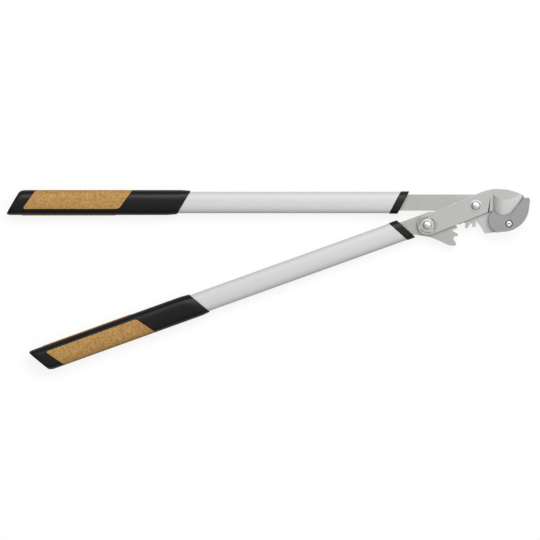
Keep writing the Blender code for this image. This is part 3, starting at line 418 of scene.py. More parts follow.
def grimeGroup():
    # painted shade: a piece's own corners and grooves are darkened by ambient occlusion, broken into patches
    # by noise
    group, given = newGroup("paintedCornerShade", {"Reach": 0.002, "Breakup": 700.0}, ["Dirt"])
    corner = added(group, "ShaderNodeAmbientOcclusion", {"samples": 6, "only_local": True},
                   Distance=given["Reach"])
    deep = ranged(group, corner.outputs["AO"], 0.0, 1.0, 0.92, 0.55)
    noise = noised(group, given["Vector"], given["Breakup"], 3.0, 0.7)
    patchy = ranged(group, noise.outputs["Fac"], 0.8, 1.0)
    return closedGroup(group, Dirt=worked(group, "MULTIPLY", deep, patchy))


def grindMarksGroup():
    # wheel marks across a ground bevel: they point away from the centre of the edge's arc, and
    # the mask is the bevel itself, by the slight tilt of its faces
    group, given = newGroup("grindMarks", {"Centre": None, "Density": 260.0}, ["Lines", "Ground", "Along"])
    away = vectorWorked(group, "SUBTRACT", given["Vector"], given["Centre"])
    parts = axesOf(group, away.outputs[0])
    angle = worked(group, "ARCTAN2", parts["Y"], parts["X"])
    noise = added(group, "ShaderNodeTexNoise", {"noise_dimensions": "1D"}, Scale=1.0, Detail=3.0,
                  W=worked(group, "MULTIPLY", angle, given["Density"]))
    geometry = group.nodes.new("ShaderNodeNewGeometry")
    rise = axesOf(group, geometry.outputs["Normal"])["Z"]
    tilted = ranged(group, rise, 0.0, 1.0, 0.9995, 0.9975)
    upward = ranged(group, rise, 0.0, 1.0, 0.75, 0.80)
    # Along is the place along X, which the bevel's painted light follows
    return closedGroup(group, Lines=noise.outputs["Fac"], Along=axesOf(group, given["Vector"])["X"],
                       Ground=worked(group, "MULTIPLY", tilted, upward))


def tickRingGroup():
    # plain etched ticks in three arcs round an axis
    group, given = newGroup("tickRing", {"Count": 54.0, "Radius": 0.012, "Height": 0.0016}, ["Mark"])
    parts = axesOf(group, given["Vector"])
    across, up = parts["X"], parts["Y"]
    angle = worked(group, "ARCTAN2", up, across)
    turns = worked(group, "MULTIPLY", worked(group, "DIVIDE", angle, math.tau), given["Count"])
    beside = worked(group, "ABSOLUTE", worked(group, "SUBTRACT", worked(group, "FRACT", turns), 0.5))
    tick = ranged(group, beside, 1.0, 0.0, 0.22, 0.30)
    wave = worked(group, "SINE", worked(group, "MULTIPLY_ADD", angle, 3.0, 0.9))
    arcs = ranged(group, wave, 0.0, 1.0, -0.70, -0.66)
    radius = worked(group, "SQRT", worked(group, "ADD", worked(group, "MULTIPLY", across, across),
                                          worked(group, "MULTIPLY", up, up)))
    off = worked(group, "ABSOLUTE", worked(group, "SUBTRACT", radius, given["Radius"]))
    band = ranged(group, worked(group, "DIVIDE", off, given["Height"]), 1.0, 0.0, 0.45, 0.52)
    marked = worked(group, "MULTIPLY", tick, arcs)
    return closedGroup(group, Mark=worked(group, "MULTIPLY", marked, band))


def granuleGroup():
    # pressed granules: one tone for each, and the dark joints between them
    group, given = newGroup("granules", {"Size": 0.0022}, ["Tone", "Joint"])
    warp = noised(group, given["Vector"], 500.0, 2.0)
    push = added(group, "ShaderNodeVectorMath", {"operation": "SCALE"}, i0=warp.outputs["Color"],
                 Scale=0.0012)
    moved = vectorWorked(group, "ADD", given["Vector"], push.outputs[0])
    scale = worked(group, "DIVIDE", 1.0, given["Size"])
    cells, gaps = [added(group, "ShaderNodeTexVoronoi", {"feature": feature}, Vector=moved.outputs[0],
                         Scale=scale) for feature in ("F1", "DISTANCE_TO_EDGE")]
    tone = added(group, "ShaderNodeSeparateColor", i0=cells.outputs["Color"])
    joint = ranged(group, gaps.outputs["Distance"], 1.0, 0.0, 0.0, 0.12)
    return closedGroup(group, Tone=tone.outputs[0], Joint=joint)


groups = {"lineGrain": lineGrainGroup(), "mottle": mottleGroup(), "edgeWearAndHighlight": edgeWearGroup(),
          "paintedCornerShade": grimeGroup(), "grindMarks": grindMarksGroup(), "tickRing": tickRingGroup(),
          "granules": granuleGroup()}


def objectPlace(tree):
    coordinates = tree.nodes.get("Texture Coordinate") or tree.nodes.new("ShaderNodeTexCoord")
    return coordinates.outputs["Object"]


def placed(tree, groupName, **values):
    # a shader group on object coordinates, or on a vector of its own
    return added(tree, "ShaderNodeGroup", {"node_tree": groups[groupName]},
                 **{"Vector": objectPlace(tree), **values})


def scaledColour(colour, share):
    return tuple(min(1.0, c * share) for c in colour)


def varied(tree, tone, colour, less, more):
    # a colour between a darker and a lighter shade of it
    return mixed(tree, ranged(tree, tone, 0.0, 1.0), scaledColour(colour, 1.0 - less),
                 scaledColour(colour, 1.0 + more))


def edgeOn(tree, high, start, end):
    # a value that grows from nothing where a surface turns away from the viewer
    facing = added(tree, "ShaderNodeLayerWeight", Blend=0.5)
    return ranged(tree, facing.outputs["Facing"], 0.0, high, start, end)


cornerShadeTone = 0.22      # the tone of the painted corner shade, as a share of the unshaded colour


def dirtied(tree, colour, form):
    # painted shade: the colour darkens towards a share of the plain colour in corners and grooves
    paintedCornerShade = placed(tree, "paintedCornerShade", Reach=form["cornerShadeReach"])
    mask = worked(tree, "MULTIPLY", paintedCornerShade.outputs[0], form["paintedCornerShade"])
    return mixed(tree, mask, colour, scaledColour(form["colour"], cornerShadeTone))


def sheened(tree, tone, form, less, more):
    return ranged(tree, tone, form["roughness"] - less, form["roughness"] + more)


def coated(material, colour, roughness, height, distance, strength=1.0):
    # colour, roughness and relief go to the material's shader
    tree = material.node_tree
    shader = tree.nodes["Principled BSDF"]
    bump = added(tree, "ShaderNodeBump", Strength=strength, Distance=distance, Height=height)
    tree.links.new(colour, shader.inputs["Base Color"])
    tree.links.new(roughness, shader.inputs["Roughness"])
    tree.links.new(bump.outputs[0], shader.inputs["Normal"])
    return material


def steelMaterial(name, form):
    # satin plate: brushed lines, a soft mottle, and edges painted lighter for wear and as a painted highlight
    material, tree = newMaterial(name, form)
    colour, contrast = form["colour"], form["contrast"]
    lines = placed(tree, "lineGrain", Turn=form["turn"], Density=form["density"], Stretch=0.03)
    mottle = placed(tree, "mottle", Patch=form["patch"], Speckle=1400.0, Share=0.45)
    wearAndHighlight = placed(tree, "edgeWearAndHighlight", Radius=form["edge"]).outputs[0]
    tone = blended(tree, 0.5, lines.outputs[0], mottle.outputs[0])
    plain = varied(tree, tone, colour, contrast, contrast)
    if "headPaintedLight" in form:
        # painted light: the plate is painted lighter towards its jaw end than along its shank
        head = ranged(tree, axesOf(tree, objectPlace(tree))["X"], 0.0, 1.0, *form["headLightSweep"])
        plain = mixed(tree, head, plain, varied(tree, tone, form["headPaintedLight"], contrast, contrast))
    if "grindCentre" in form:
        grind = placed(tree, "grindMarks", Centre=form["grindCentre"], Density=form["grindDensity"])
        # painted light: the ground bevel is painted darker at its left end and lighter towards its right end,
        # a painted shade and a painted highlight
        grindLightShare = ranged(tree, grind.outputs["Along"], 0.0, 1.0, *form["grindLightSweep"])
        paintedGrindLight = mixed(tree, grindLightShare, scaledColour(colour, form["grindPaintedShade"]),
                      scaledColour(colour, form["grindPaintedLight"]))
        streaks = ranged(tree, grind.outputs["Lines"], 0.0, 2.0 * form["grindContrast"])
        ground = mixed(tree, streaks, paintedGrindLight, scaledColour(colour, form["streakShade"]))
        plain = mixed(tree, grind.outputs["Ground"], plain, ground)
        tone = blended(tree, grind.outputs["Ground"], tone, grind.outputs["Lines"])
    # edges are painted lighter, partly wear and partly a painted highlight
    wornAndHighlit = mixed(tree, wearAndHighlight, plain, scaledColour(colour, form["edgeWearAndHighlightTone"]))
    roughness = worked(tree, "MULTIPLY_ADD", wearAndHighlight, -0.12, sheened(tree, tone, form, 0.05, 0.06))
    # painted shade goes into the corners of the finished colour
    return coated(material, dirtied(tree, wornAndHighlit, form), roughness, tone, form["bump"])


def turnedMaterial(name, form, centre):
    # machined metal: fine rings round the piece's own axis
    material, tree = newMaterial(name, form)
    centred = added(tree, "ShaderNodeMapping", {"vector_type": "TEXTURE"}, Vector=objectPlace(tree),
                    Location=(centre.x, centre.y, 0.0))
    flat = vectorWorked(tree, "MULTIPLY", centred.outputs[0], (1.0, 1.0, 0.0)).outputs[0]
    radius = vectorWorked(tree, "LENGTH", flat).outputs["Value"]
    rings = added(tree, "ShaderNodeTexNoise", {"noise_dimensions": "1D"}, W=radius, Scale=form["rings"],
                  Detail=2.0).outputs["Fac"]
    mottle = placed(tree, "mottle", Patch=180.0, Speckle=2000.0, Share=0.4)
    tone = blended(tree, 0.4, rings, mottle.outputs[0])
    colour = varied(tree, tone, form["colour"], form["contrast"], form["contrast"])
    if "tickRadius" in form:
        ticks = placed(tree, "tickRing", Vector=flat, Count=form["tickCount"],
                       Radius=form["tickRadius"], Height=form["tickHeight"])
        colour = mixed(tree, ticks.outputs[0], colour, scaledColour(form["colour"], form["tickTone"]))
    # painted shade goes into the corners of the finished colour
    return coated(material, dirtied(tree, colour, form), sheened(tree, tone, form, 0.03, 0.05), rings,
                  form["bump"])


def castMaterial():
    form = {"colour": (0.345, 0.345, 0.348), "roughness": 0.50, "metallic": 0.75, "paintedCornerShade": 0.7,
            "cornerShadeReach": 0.0025, "edgeWearAndHighlightTone": 1.30, "bump": 0.00010}
    material, tree = newMaterial("anvilCastFinish", form)
    grain = placed(tree, "mottle", Patch=220.0, Speckle=1300.0, Share=0.6).outputs[0]
    # edges are painted lighter, partly wear and partly a painted highlight, and corners get painted shade
    wearAndHighlight = placed(tree, "edgeWearAndHighlight", Radius=0.0006, Breakup=700.0)
    plain = varied(tree, grain, form["colour"], 0.10, 0.10)
    wornAndHighlit = mixed(tree, wearAndHighlight.outputs[0], plain, scaledColour(form["colour"], form["edgeWearAndHighlightTone"]))
    return coated(material, dirtied(tree, wornAndHighlit, form), sheened(tree, grain, form, 0.06, 0.10), grain,
                  form["bump"])


def tubeMaterial(prefix, turn):
    # drawn tube with a silver coat: faint lines along it and a very fine metallic speckle
    form = {"colour": (0.70, 0.70, 0.70), "roughness": 0.44, "metallic": 0.06, "specular": 0.10,
            "contrast": 0.025, "bump": 0.000006}
    material, tree = newMaterial(prefix + "TubeFinish", form)
    lines = placed(tree, "lineGrain", Turn=turn, Density=900.0, Stretch=0.012)
    speckle = placed(tree, "mottle", Patch=30.0, Speckle=3500.0, Share=0.7)
    tone = blended(tree, 0.55, lines.outputs[0], speckle.outputs[0])
    colour = varied(tree, tone, form["colour"], form["contrast"], form["contrast"])
    return coated(material, colour, sheened(tree, tone, form, 0.03, 0.04), tone, form["bump"])


def mouldedMaterial(name, form):
    # black moulding: a fine pebble, slight changes of sheen, and edges painted lighter for wear and as a
    # painted highlight
    material, tree = newMaterial(name, form)
    pebble = placed(tree, "mottle", Patch=form["patch"], Speckle=form["pebble"], Share=0.75).outputs[0]
    wearAndHighlight = placed(tree, "edgeWearAndHighlight", Radius=0.0007, Breakup=300.0)
    plain = varied(tree, pebble, form["colour"], 0.2, 0.25)
    # edges are painted lighter, partly wear and partly a painted highlight
    wornAndHighlit = mixed(tree, wearAndHighlight.outputs[0], plain, scaledColour(form["colour"], form["edgeWearAndHighlightTone"]))
    roughness = worked(tree, "ADD", sheened(tree, pebble, form, 0.06, 0.08), edgeOn(tree, 0.5, 0.3, 0.9))
    return coated(material, wornAndHighlit, roughness, pebble, form["bump"])


def corkMaterial():
    form = {"colour": (0.70, 0.430, 0.150), "dark": (0.38, 0.185, 0.048), "pit": (0.19, 0.090, 0.028),
            "roughness": 0.80, "specular": 0.25, "jointShare": 0.35, "bump": 0.00022, "relief": 0.7}
    material, tree = newMaterial("pressedCork", form)
    coarse = placed(tree, "granules", Size=0.0026)
    fine = placed(tree, "granules", Size=0.0011)
    patches = placed(tree, "mottle", Patch=260.0, Speckle=1200.0, Share=0.4)
    grain = blended(tree, 0.45, coarse.outputs["Tone"], fine.outputs["Tone"])
    tone = blended(tree, 0.35, grain, ranged(tree, patches.outputs[0], 0.0, 1.0))
    body = mixed(tree, ranged(tree, tone, 0.0, 1.0, 0.15, 0.85), form["dark"], form["colour"])
    joints = worked(tree, "MULTIPLY", coarse.outputs["Joint"], form["jointShare"])
    roughness = ranged(tree, tone, 0.72, 0.90, 0.2, 0.8)
    return coated(material, mixed(tree, joints, body, form["pit"]), roughness,
                  worked(tree, "SUBTRACT", tone, joints), form["bump"], form["relief"])


# where a form has them, its numbers give the strength and reach of the painted shade in corners, and how much
# lighter its edges are painted for wear and as a highlight
steelForms = {
    "tang": {"colour": (0.480, 0.485, 0.455), "roughness": 0.40, "metallic": 0.85, "turn": 0.0,
             "density": 3200.0, "patch": 35.0, "edge": 0.0008, "contrast": 0.03, "edgeWearAndHighlightTone": 1.50,
             "bump": 0.000006, "paintedCornerShade": 0.5, "cornerShadeReach": 0.002},
    # the blade's grind numbers paint its bevel darker at one end and lighter at the other, a painted shade
    # and a painted highlight
    "blade": {"colour": (0.560, 0.560, 0.545), "roughness": 0.34, "metallic": 0.90, "turn": linkTurn,
              "density": 3600.0, "patch": 30.0, "edge": 0.0008, "contrast": 0.03, "edgeWearAndHighlightTone": 1.50,
              "bump": 0.000005, "paintedCornerShade": 0.95, "cornerShadeReach": 0.0014, "grindCentre": (0.0465, 0.0070, 0.0),
              "grindDensity": 260.0, "grindPaintedShade": 0.76, "grindPaintedLight": 1.44, "streakShade": 0.5,
              "grindLightSweep": (0.0268, 0.0420), "grindContrast": 0.05},
}
# the turned finishes give the strength and reach of the painted shade in corners
turnedForms = {
    "bright": {"colour": (0.74, 0.74, 0.74), "roughness": 0.30, "metallic": 1.0, "rings": 2600.0,
               "contrast": 0.03, "bump": 0.000004, "paintedCornerShade": 0.7, "cornerShadeReach": 0.0014},
    "zinc": {"colour": (0.62, 0.63, 0.64), "roughness": 0.34, "metallic": 0.95, "rings": 1800.0,
             "contrast": 0.06, "bump": 0.00001, "paintedCornerShade": 0.6, "cornerShadeReach": 0.0015},
    "bronze": {"colour": (0.55, 0.38, 0.20), "roughness": 0.35, "metallic": 1.0, "rings": 1800.0,
               "contrast": 0.06, "bump": 0.00001, "paintedCornerShade": 0.5, "cornerShadeReach": 0.0015},
}
plasticForms = {
    "collar": {"colour": (0.010, 0.010, 0.011), "roughness": 0.34, "specular": 0.28, "patch": 90.0,
               "pebble": 1800.0, "edgeWearAndHighlightTone": 2.0, "bump": 0.00003},
    "grip": {"colour": (0.004, 0.004, 0.0044), "roughness": 0.30, "specular": 0.27, "patch": 50.0,
             "pebble": 1500.0, "edgeWearAndHighlightTone": 2.2, "bump": 0.00004},
    "core": {"colour": (0.045, 0.045, 0.05), "roughness": 0.58, "specular": 0.40, "patch": 90.0,
             "pebble": 1200.0, "edgeWearAndHighlightTone": 1.6, "bump": 0.00003},
    "orange": {"colour": (1.0, 0.33, 0.01), "roughness": 0.45, "specular": 0.4, "patch": 90.0,
               "pebble": 1800.0, "edgeWearAndHighlightTone": 1.1, "bump": 0.00002},
}
# the upper plate gets painted light: a lighter colour that sweeps in towards the jaw end
upperTangForm = dict(steelForms["tang"], headPaintedLight=(0.562, 0.562, 0.554), headLightSweep=(-0.040, 0.008))
lowerTangForm = dict(steelForms["tang"], turn=handleForm["lowerTurn"])
discFinish = dict(turnedForms["zinc"], colour=(0.57, 0.57, 0.55), paintedCornerShade=0.7, tickRadius=0.0117,
                  tickHeight=0.0020, tickCount=42.0, tickTone=0.10)
materials = {
    "upperTang": steelMaterial("upperTangSteel", upperTangForm),
    "lowerTang": steelMaterial("lowerTangSteel", lowerTangForm),
    "link": steelMaterial("backLinkSteel", dict(steelForms["tang"], turn=linkTurn)),
    "blade": steelMaterial("bladeSteel", steelForms["blade"]),
    "cast": castMaterial(),
    "disc": turnedMaterial("discSteel", discFinish, gearPivot),
    "upperTube": tubeMaterial("upper", 0.0),
    "lowerTube": tubeMaterial("lower", handleForm["lowerTurn"]),
    "cork": corkMaterial(),
}
for kind, label in (("bright", "BoltBright"), ("zinc", "NutZinc"), ("bronze", "BushingBronze")):
    for prefix, pivot in (("main", mainPivot), ("gear", gearPivot)):
        materials[prefix + kind.title()] = turnedMaterial(prefix + label, turnedForms[kind], pivot)
for kind, form in plasticForms.items():
    materials[kind] = mouldedMaterial(kind + "Plastic", form)
print("materials made")


# The anvil's screw: a low domed head with a pointed hexagon socket
screwForm = {"centre": Vector((0.0507, -0.0276, 0.0)), "headRadius": 0.0045, "headHeight": 0.0026,
             "flatShare": 0.55, "domeShare": 0.45, "dome": 0.0010, "domeSteps": 6, "shank": 0.0025,
             "socket": 0.0032, "socketDepth": 0.0012, "socketCone": 0.0012, "socketTurn": 0.2,
             "edge": 0.00012}

# Plates of the jaw: welded copies of the CAD plates with rounded edges
anvilForm = {"lipEdge": 0.0008, "edge": 0.0003, "screwRoom": 0.0070}
tangEdge = 0.00014
pivotRooms = ((mainPivot, 0.0090), (gearPivot, 0.0090))
toothValley = (Vector((-0.0263, -0.0285, 0.0)), 0.0008)      # where a tooth ends in a narrow notch
bladeForm = {"edge": 0.00055,
             "noRim": ((Vector((0.0262, 0.0040, 0.0)), 0.0145),      # the step of the ridge
                       (Vector((0.0715, 0.0150, 0.0)), 0.0062))      # the tip
             + pivotRooms}
grooveForm = {"top": (0.0221, 0.0122), "foot": (0.0190, -0.0120), "depth": 0.0020, "size": 0.0018,
              "narrow": 0.95, "startShare": 0.18}


def cutGroove(blade):
    # the tapered V between the bar and the ground head: a three-sided spike lying on one edge
    form = grooveForm
    face = nodeTop("blade")
    start, end = form["size"], form["size"] * form["startShare"]
    foot = Vector((*form["foot"], face + start - form["depth"]))
    top = Vector((*form["top"], face + end - form["depth"] * form["startShare"]))
    along = top - foot
    spike = startFrom(bpy.ops.mesh.primitive_cone_add, "grooveSpike", vertices=3, radius1=start,
                      radius2=end, depth=along.length)
    spike.scale = (form["narrow"], 1.0, 1.0)
    bpy.ops.object.transform_apply(location=True, rotation=True, scale=True)
    turn = along.to_track_quat("Z", "Y").to_matrix().to_4x4() @ Matrix.Rotation(math.pi, 4, "Z")
    spike.matrix_world = Matrix.Translation((foot + top) / 2.0) @ turn
    settle(spike)
    combined(blade, spike, "DIFFERENCE")
    settle(blade)


def makePlates():
    for prefix, away in (("upper", pivotRooms + (toothValley,)), ("lower", pivotRooms)):
        tang = copiedNode(prefix + "TangPlate", prefix + "_tang")
        rimmed(tang, tangEdge, away=away)
        finished(tang, prefix + "_handle", materials[prefix + "Tang"], [prefix + "_tang"])
    link = copiedNode("backLinkPlate", "back_link")
    finished(link, "blade", materials["link"], ["back_link"])
    blade = copiedNode("bladePlate", "blade")
    rimmed(blade, bladeForm["edge"], away=bladeForm["noRim"])
    cutGroove(blade)
    creased(blade)
    finished(blade, "blade", materials["blade"], ["blade"])
    anvil = copiedNode("anvilCasting", "anvil")
    form = anvilForm
    rimmed(anvil, form["lipEdge"], 4, nodeTop("anvil") - form["edge"],
           ((screwForm["centre"], form["screwRoom"]),))
    rounded(anvil, form["edge"], 2, 50.0)
    finished(anvil, "upper_handle", materials["cast"], ["anvil"])


# The raised disc on the blade's round end, which the gear pivot's bolt sits in
discForm = {"rim": 0.0011, "step": 0.0004, "height": 0.0016, "bore": 0.00425, "edge": 0.00008,
            "sides": 120}

# Pivot bolts: a domed head with a groove at its foot, on a flange with a rounded rim
boltForm = {"domeRadius": 0.0070, "domeSteps": 14, "flangeRadius": 0.0092, "flangeHeight": 0.0008,
            "rim": 0.0006, "rimSteps": 4, "groove": 0.0001, "shank": 0.0040, "chamfer": 0.0004,
            "dimple": 0.0012, "dimpleSlope": 0.6}


def boltProfile(node, seat):
    form = boltForm
    top, tail = nodeTop(node), nodeFoot(node)
    dome, flange, rim, shank = form["domeRadius"], form["flangeRadius"], form["rim"], form["shank"]
    groove, chamfer, dimple = form["groove"], form["chamfer"], form["dimple"]
    rimTop = seat + form["flangeHeight"]
    profile = [(0.0, top)]
    profile += [(dome * sine, rimTop + (top - rimTop) * cosine)
                for sine, cosine in quarterTurn(form["domeSteps"], 1)]
    profile += [(dome, rimTop - groove), (dome + groove, rimTop - groove), (dome + 2.0 * groove, rimTop)]
    profile += [(flange - rim * (1.0 - sine), rimTop - rim * (1.0 - cosine))
                for sine, cosine in quarterTurn(form["rimSteps"])]
    profile += [(flange, seat), (shank, seat), (shank, tail + chamfer), (shank - chamfer, tail),
                (dimple, tail), (0.0, tail + dimple * form["dimpleSlope"])]
    return profile


def makeBolts():
    seats = {"main": nodeTop("blade") + handleForm["seat"],
             "gear": nodeFoot("gear_pivot_disc") + discForm["height"] + handleForm["seat"]}
    for prefix, centre in (("main", mainPivot), ("gear", gearPivot)):
        node = prefix + "_pivot_bolt"
        bolt = turnedPiece(prefix + "PivotBolt", boltProfile(node, seats[prefix]), centre)
        finished(bolt, "blade", materials[prefix + "Bright"], [node], 40.0)


def makeDisc():
    form = discForm
    radius = nodeSize("gear_pivot_disc").x / 2.0
    foot, crest = nodeFoot("gear_pivot_disc"), nodeTop("gear_pivot_disc")
    face = foot + form["height"]
    profile = [(form["bore"], face), (radius - form["rim"] - form["step"], face),
               (radius - form["rim"], crest), (radius - form["step"], crest), (radius, face),
               (radius, foot), (form["bore"], foot)]
    profile.append(profile[0])
    disc = turnedPiece("gearPivotDisc", profile, gearPivot, form["sides"])
    rounded(disc, form["edge"], 2, 30.0)
    finished(disc, "blade", materials["disc"], ["gear_pivot_disc"], 40.0)


# Washers and nuts behind the back link
nutForm = {"flats": 0.0130, "chamfer": 0.0006, "boreChamfer": 0.0004, "barrelRoom": 0.0002,
           "washerEdge": 0.00015}


def makeWasherAndNut(prefix, centre):
    node = prefix + "_pivot_washer"
    low, high = nodeFoot(node), nodeTop(node)
    radius = nodeSize(node).x / 2.0
    bore = boltForm["shank"] + handleForm["seat"]
    profile = [(bore, high), (radius, high), (radius, low), (bore, low), (bore, high)]
    washer = turnedPiece(prefix + "PivotWasher", profile, centre)
    rounded(washer, nutForm["washerEdge"], 2)
    finished(washer, "blade", materials[prefix + "Zinc"], [node], 40.0)

    node = prefix + "_pivot_nut"
    low, high = nodeFoot(node), nodeTop(node)
    corner = nutForm["flats"] / 2.0 / math.cos(math.pi / 6.0)
    nut = startFrom(bpy.ops.mesh.primitive_cylinder_add, prefix + "PivotNut", vertices=6, radius=corner,
                    depth=high - low, location=(centre.x, centre.y, (high + low) / 2.0),
                    rotation=(0.0, 0.0, math.pi / 2.0))
    settle(nut)
    flat, chamfer = nutForm["flats"] / 2.0, nutForm["chamfer"]
    wide = corner + nutForm["barrelRoom"]
    barrel = turnedPiece("barrel", [(0.0, high), (flat, high), (wide, high - chamfer),
                                    (wide, low + chamfer), (flat, low), (0.0, low)], centre)
    combined(nut, barrel, "INTERSECT")
    edge = nutForm["boreChamfer"]
    drill = turnedPiece("drill", [(0.0, high + edge), (bore + 2.0 * edge, high + edge), (bore, high - edge),
                                  (bore, low + edge), (bore + 2.0 * edge, low - edge),
                                  (0.0, low - edge)], centre)
    combined(nut, drill, "DIFFERENCE")
    settle(nut)
    finished(nut, "blade", materials[prefix + "Zinc"], [node], 30.0)


def makeScrew():
    form = screwForm
    centre, radius = form["centre"], form["headRadius"]
    top, foot = nodeTop("anvil_screw"), nodeFoot("anvil_screw")
    seat = top - form["headHeight"]
    profile = [(0.0, top), (radius * form["flatShare"], top)]
    profile += [(radius * (form["flatShare"] + form["domeShare"] * sine), top - form["dome"] * (1.0 - cosine))
                for sine, cosine in quarterTurn(form["domeSteps"], 1)]
    profile += [(radius, seat), (form["shank"], seat), (form["shank"], foot), (0.0, foot)]
    screw = turnedPiece("anvilScrew", profile, centre)
    # the socket's tool: a cone for its pointed bottom, drawn up from the cone's wide face
    middle = top - form["socketDepth"] - form["socketCone"] / 2.0
    socket = startFrom(bpy.ops.mesh.primitive_cone_add, "socketTool", vertices=6, radius1=0.0,
                       radius2=form["socket"] / 2.0 / math.cos(math.pi / 6.0), depth=form["socketCone"],
                       location=(centre.x, centre.y, middle), rotation=(0.0, 0.0, form["socketTurn"]))
    openEmpty(socket, "FACE")
    closeMesh()
    max(socket.data.polygons, key=lambda face: face.normal.z).select = True
    bpy.ops.object.mode_set(mode="EDIT")
    rise = (0.0, 0.0, form["socketDepth"] * 2.0)
    bpy.ops.mesh.extrude_region_move(TRANSFORM_OT_translate={"value": rise})
    closeMesh()
    combined(screw, settle(socket), "DIFFERENCE")
    rounded(screw, form["edge"], 2, 50.0)
    bright = turnedMaterial("anvilScrewBright", turnedForms["bright"], centre)
    finished(screw, "upper_handle", bright, ["anvil_screw"], 40.0)


# Handle pieces
collarForm = {"length": 0.0129, "proud": 0.0008, "edge": 0.0009, "edgeSteps": 4, "slotGap": 0.00025,
              "slotLength": 0.2, "coreSide": 0.0021}
tubeForm = {"wall": 0.0018, "endRoom": 0.0140, "edge": 0.0003, "boreRoom": 0.01}
gripForm = {"start": 0.33605, "length": 0.2616, "taper": 0.0180, "taperSteps": 8, "mouthWall": 0.0012,
            "lip": 0.0005, "lipSteps": 3, "bodyStep": 0.0060, "noseReach": 0.0120, "noseShare": 0.80,
            "noseRound": 1.6, "noseSteps": 12}
inlayForm = {"startRoom": 0.030, "hollowRoom": 0.02, "cutRoom": 0.002}
padForm = {"endRoom": 0.02165, "length": 0.1478, "thickness": 0.0020, "slant": math.radians(35.5),
           "width": 0.0292, "corner": 0.0040, "cornerSteps": 6, "edge": 0.0004}
stripeForm = {"endRoom": 0.02455, "length": 0.1434, "height": 0.0050, "thickness": 0.0012,
              "proud": 0.0008, "edge": 0.0003, "reachFrom": 0.65, "reach": 0.7}
gripEnd = gripForm["start"] + gripForm["length"]


def makeTube(prefix, body):
    start = collarForm["length"] + handleForm["seat"]
    end = gripEnd - tubeForm["endRoom"]
    half, deep = tubeWidth / 2.0, tubeDepth / 2.0
    wall, room = tubeForm["wall"], tubeForm["boreRoom"]
    tube = ovalPiece(prefix + "TubeShell", [(start, half, deep), (end, half, deep)])
    bore = ovalPiece("tubeBore", [(start - room, half - wall, deep - wall),
                                  (end + room, half - wall, deep - wall)])
    combined(settle(tube), settle(bore), "DIFFERENCE")
    rounded(tube, tubeForm["edge"], 2, 60.0)
    leaned(tube, handleForm["tubeSlant"], handleForm["gripSlant"], start, end)
    onHandle(tube, prefix)
    finished(tube, body, materials[prefix + "Tube"], [prefix + "_tube"], 50.0)


def makeCollar(prefix, body):
    form = collarForm
    half, deep = tubeWidth / 2.0 + form["proud"], tubeDepth / 2.0 + form["proud"]
    edge, length = form["edge"], form["length"]
    rings = [(edge * (1.0 - cosine), half - edge * (1.0 - sine), deep - edge * (1.0 - sine))
             for sine, cosine in quarterTurn(form["edgeSteps"])]
    rings += [(length - setback, wide, tall) for setback, wide, tall in reversed(rings)]
    collar = ovalPiece(prefix + "CollarRing", rings)
    leaned(collar, handleForm["tubeSlant"])
    settle(collar)
    gap = form["slotGap"]
    slotHalf = tubeWidth / 2.0 - tubeForm["wall"] - handleForm["seat"] - form["coreSide"] + gap
    slotSize = (form["slotLength"], 2.0 * slotHalf, nodeSize("upper_tang").z + 2.0 * gap)
    slot = startFrom(bpy.ops.mesh.primitive_cube_add, "slotTool", size=1.0, scale=slotSize)
    combined(collar, settle(slot), "DIFFERENCE")
    onHandle(collar, prefix)
    finished(collar, body, materials["collar"], [prefix + "_collar"], 45.0)


def gripHalf(setback):
    # half width and half depth of the grip's skin where the mouth swells into the body
    share = math.sin(min(1.0, max(0.0, (setback - gripForm["start"]) / gripForm["taper"])) * math.pi / 2.0)
    room = handleForm["seat"] + gripForm["mouthWall"]
    wide, deep = tubeWidth / 2.0 + room, tubeDepth / 2.0 + room
    return wide + (gripWidth / 2.0 - wide) * share, deep + (gripDepth / 2.0 - deep) * share


def gripBody(name, inset, first, last):
    # a plain length of the grip's oval, grown or shrunk by an inset, for cutting inlays and pockets
    count = int((last - first) / gripForm["bodyStep"])
    rings = []
    for setback in steps(first, last, count):
        wide, deep = gripHalf(setback)
        rings.append((setback, wide - inset, deep - inset))
    piece = ovalPiece(name, rings)
    leaned(piece, handleForm["gripSlant"])
    return settle(piece)


def inlaySpan(form, extra):
    # where an inlay starts and ends along the grip
    end = gripEnd - form["endRoom"]
    return end - form["length"] - extra, end + extra


def padBorder(extra):
    # the pad's outline from the front: a slanted band with its two inner corners rounded
    form = padForm
    low = gripWidth / 2.0 - form["width"] - extra
    start, end = inlaySpan(form, extra)
    reach = gripDepth
    border = startFrom(bpy.ops.mesh.primitive_plane_add, "padBorder", size=1.0)
    border.scale = (end - start, gripWidth - low, 1.0)
    border.location = (-(start + end) / 2.0, (gripWidth + low) / 2.0, -reach)
    bpy.ops.object.transform_apply(location=True, rotation=True, scale=True)
    openEmpty(border, "VERT")
    closeMesh()
    for vertex in border.data.vertices:
        vertex.select = vertex.co.y < (gripWidth + low) / 2.0
    bpy.ops.object.mode_set(mode="EDIT")
    bpy.ops.mesh.bevel(offset=form["corner"], segments=form["cornerSteps"], affect="VERTICES")
    bpy.ops.mesh.select_all(action="SELECT")
    bpy.ops.mesh.extrude_region_move(TRANSFORM_OT_translate={"value": (0.0, 0.0, 2.0 * reach)})
    closeMesh()
    leaned(border, form["slant"])
    return settle(border)


def stripeBorder(extra):
    # a long block round the grip's inner edge
    form = stripeForm
    start, end = inlaySpan(form, extra)
    lean = gripWidth / 2.0 * math.tan(handleForm["gripSlant"])
    place = (-(start + end) / 2.0 - lean, -gripWidth * form["reachFrom"], 0.0)
    size = (end - start, gripWidth * form["reach"], form["height"] + 2.0 * extra)
    return settle(startFrom(bpy.ops.mesh.primitive_cube_add, "stripeBorder", size=1.0, location=place,
                            scale=size))


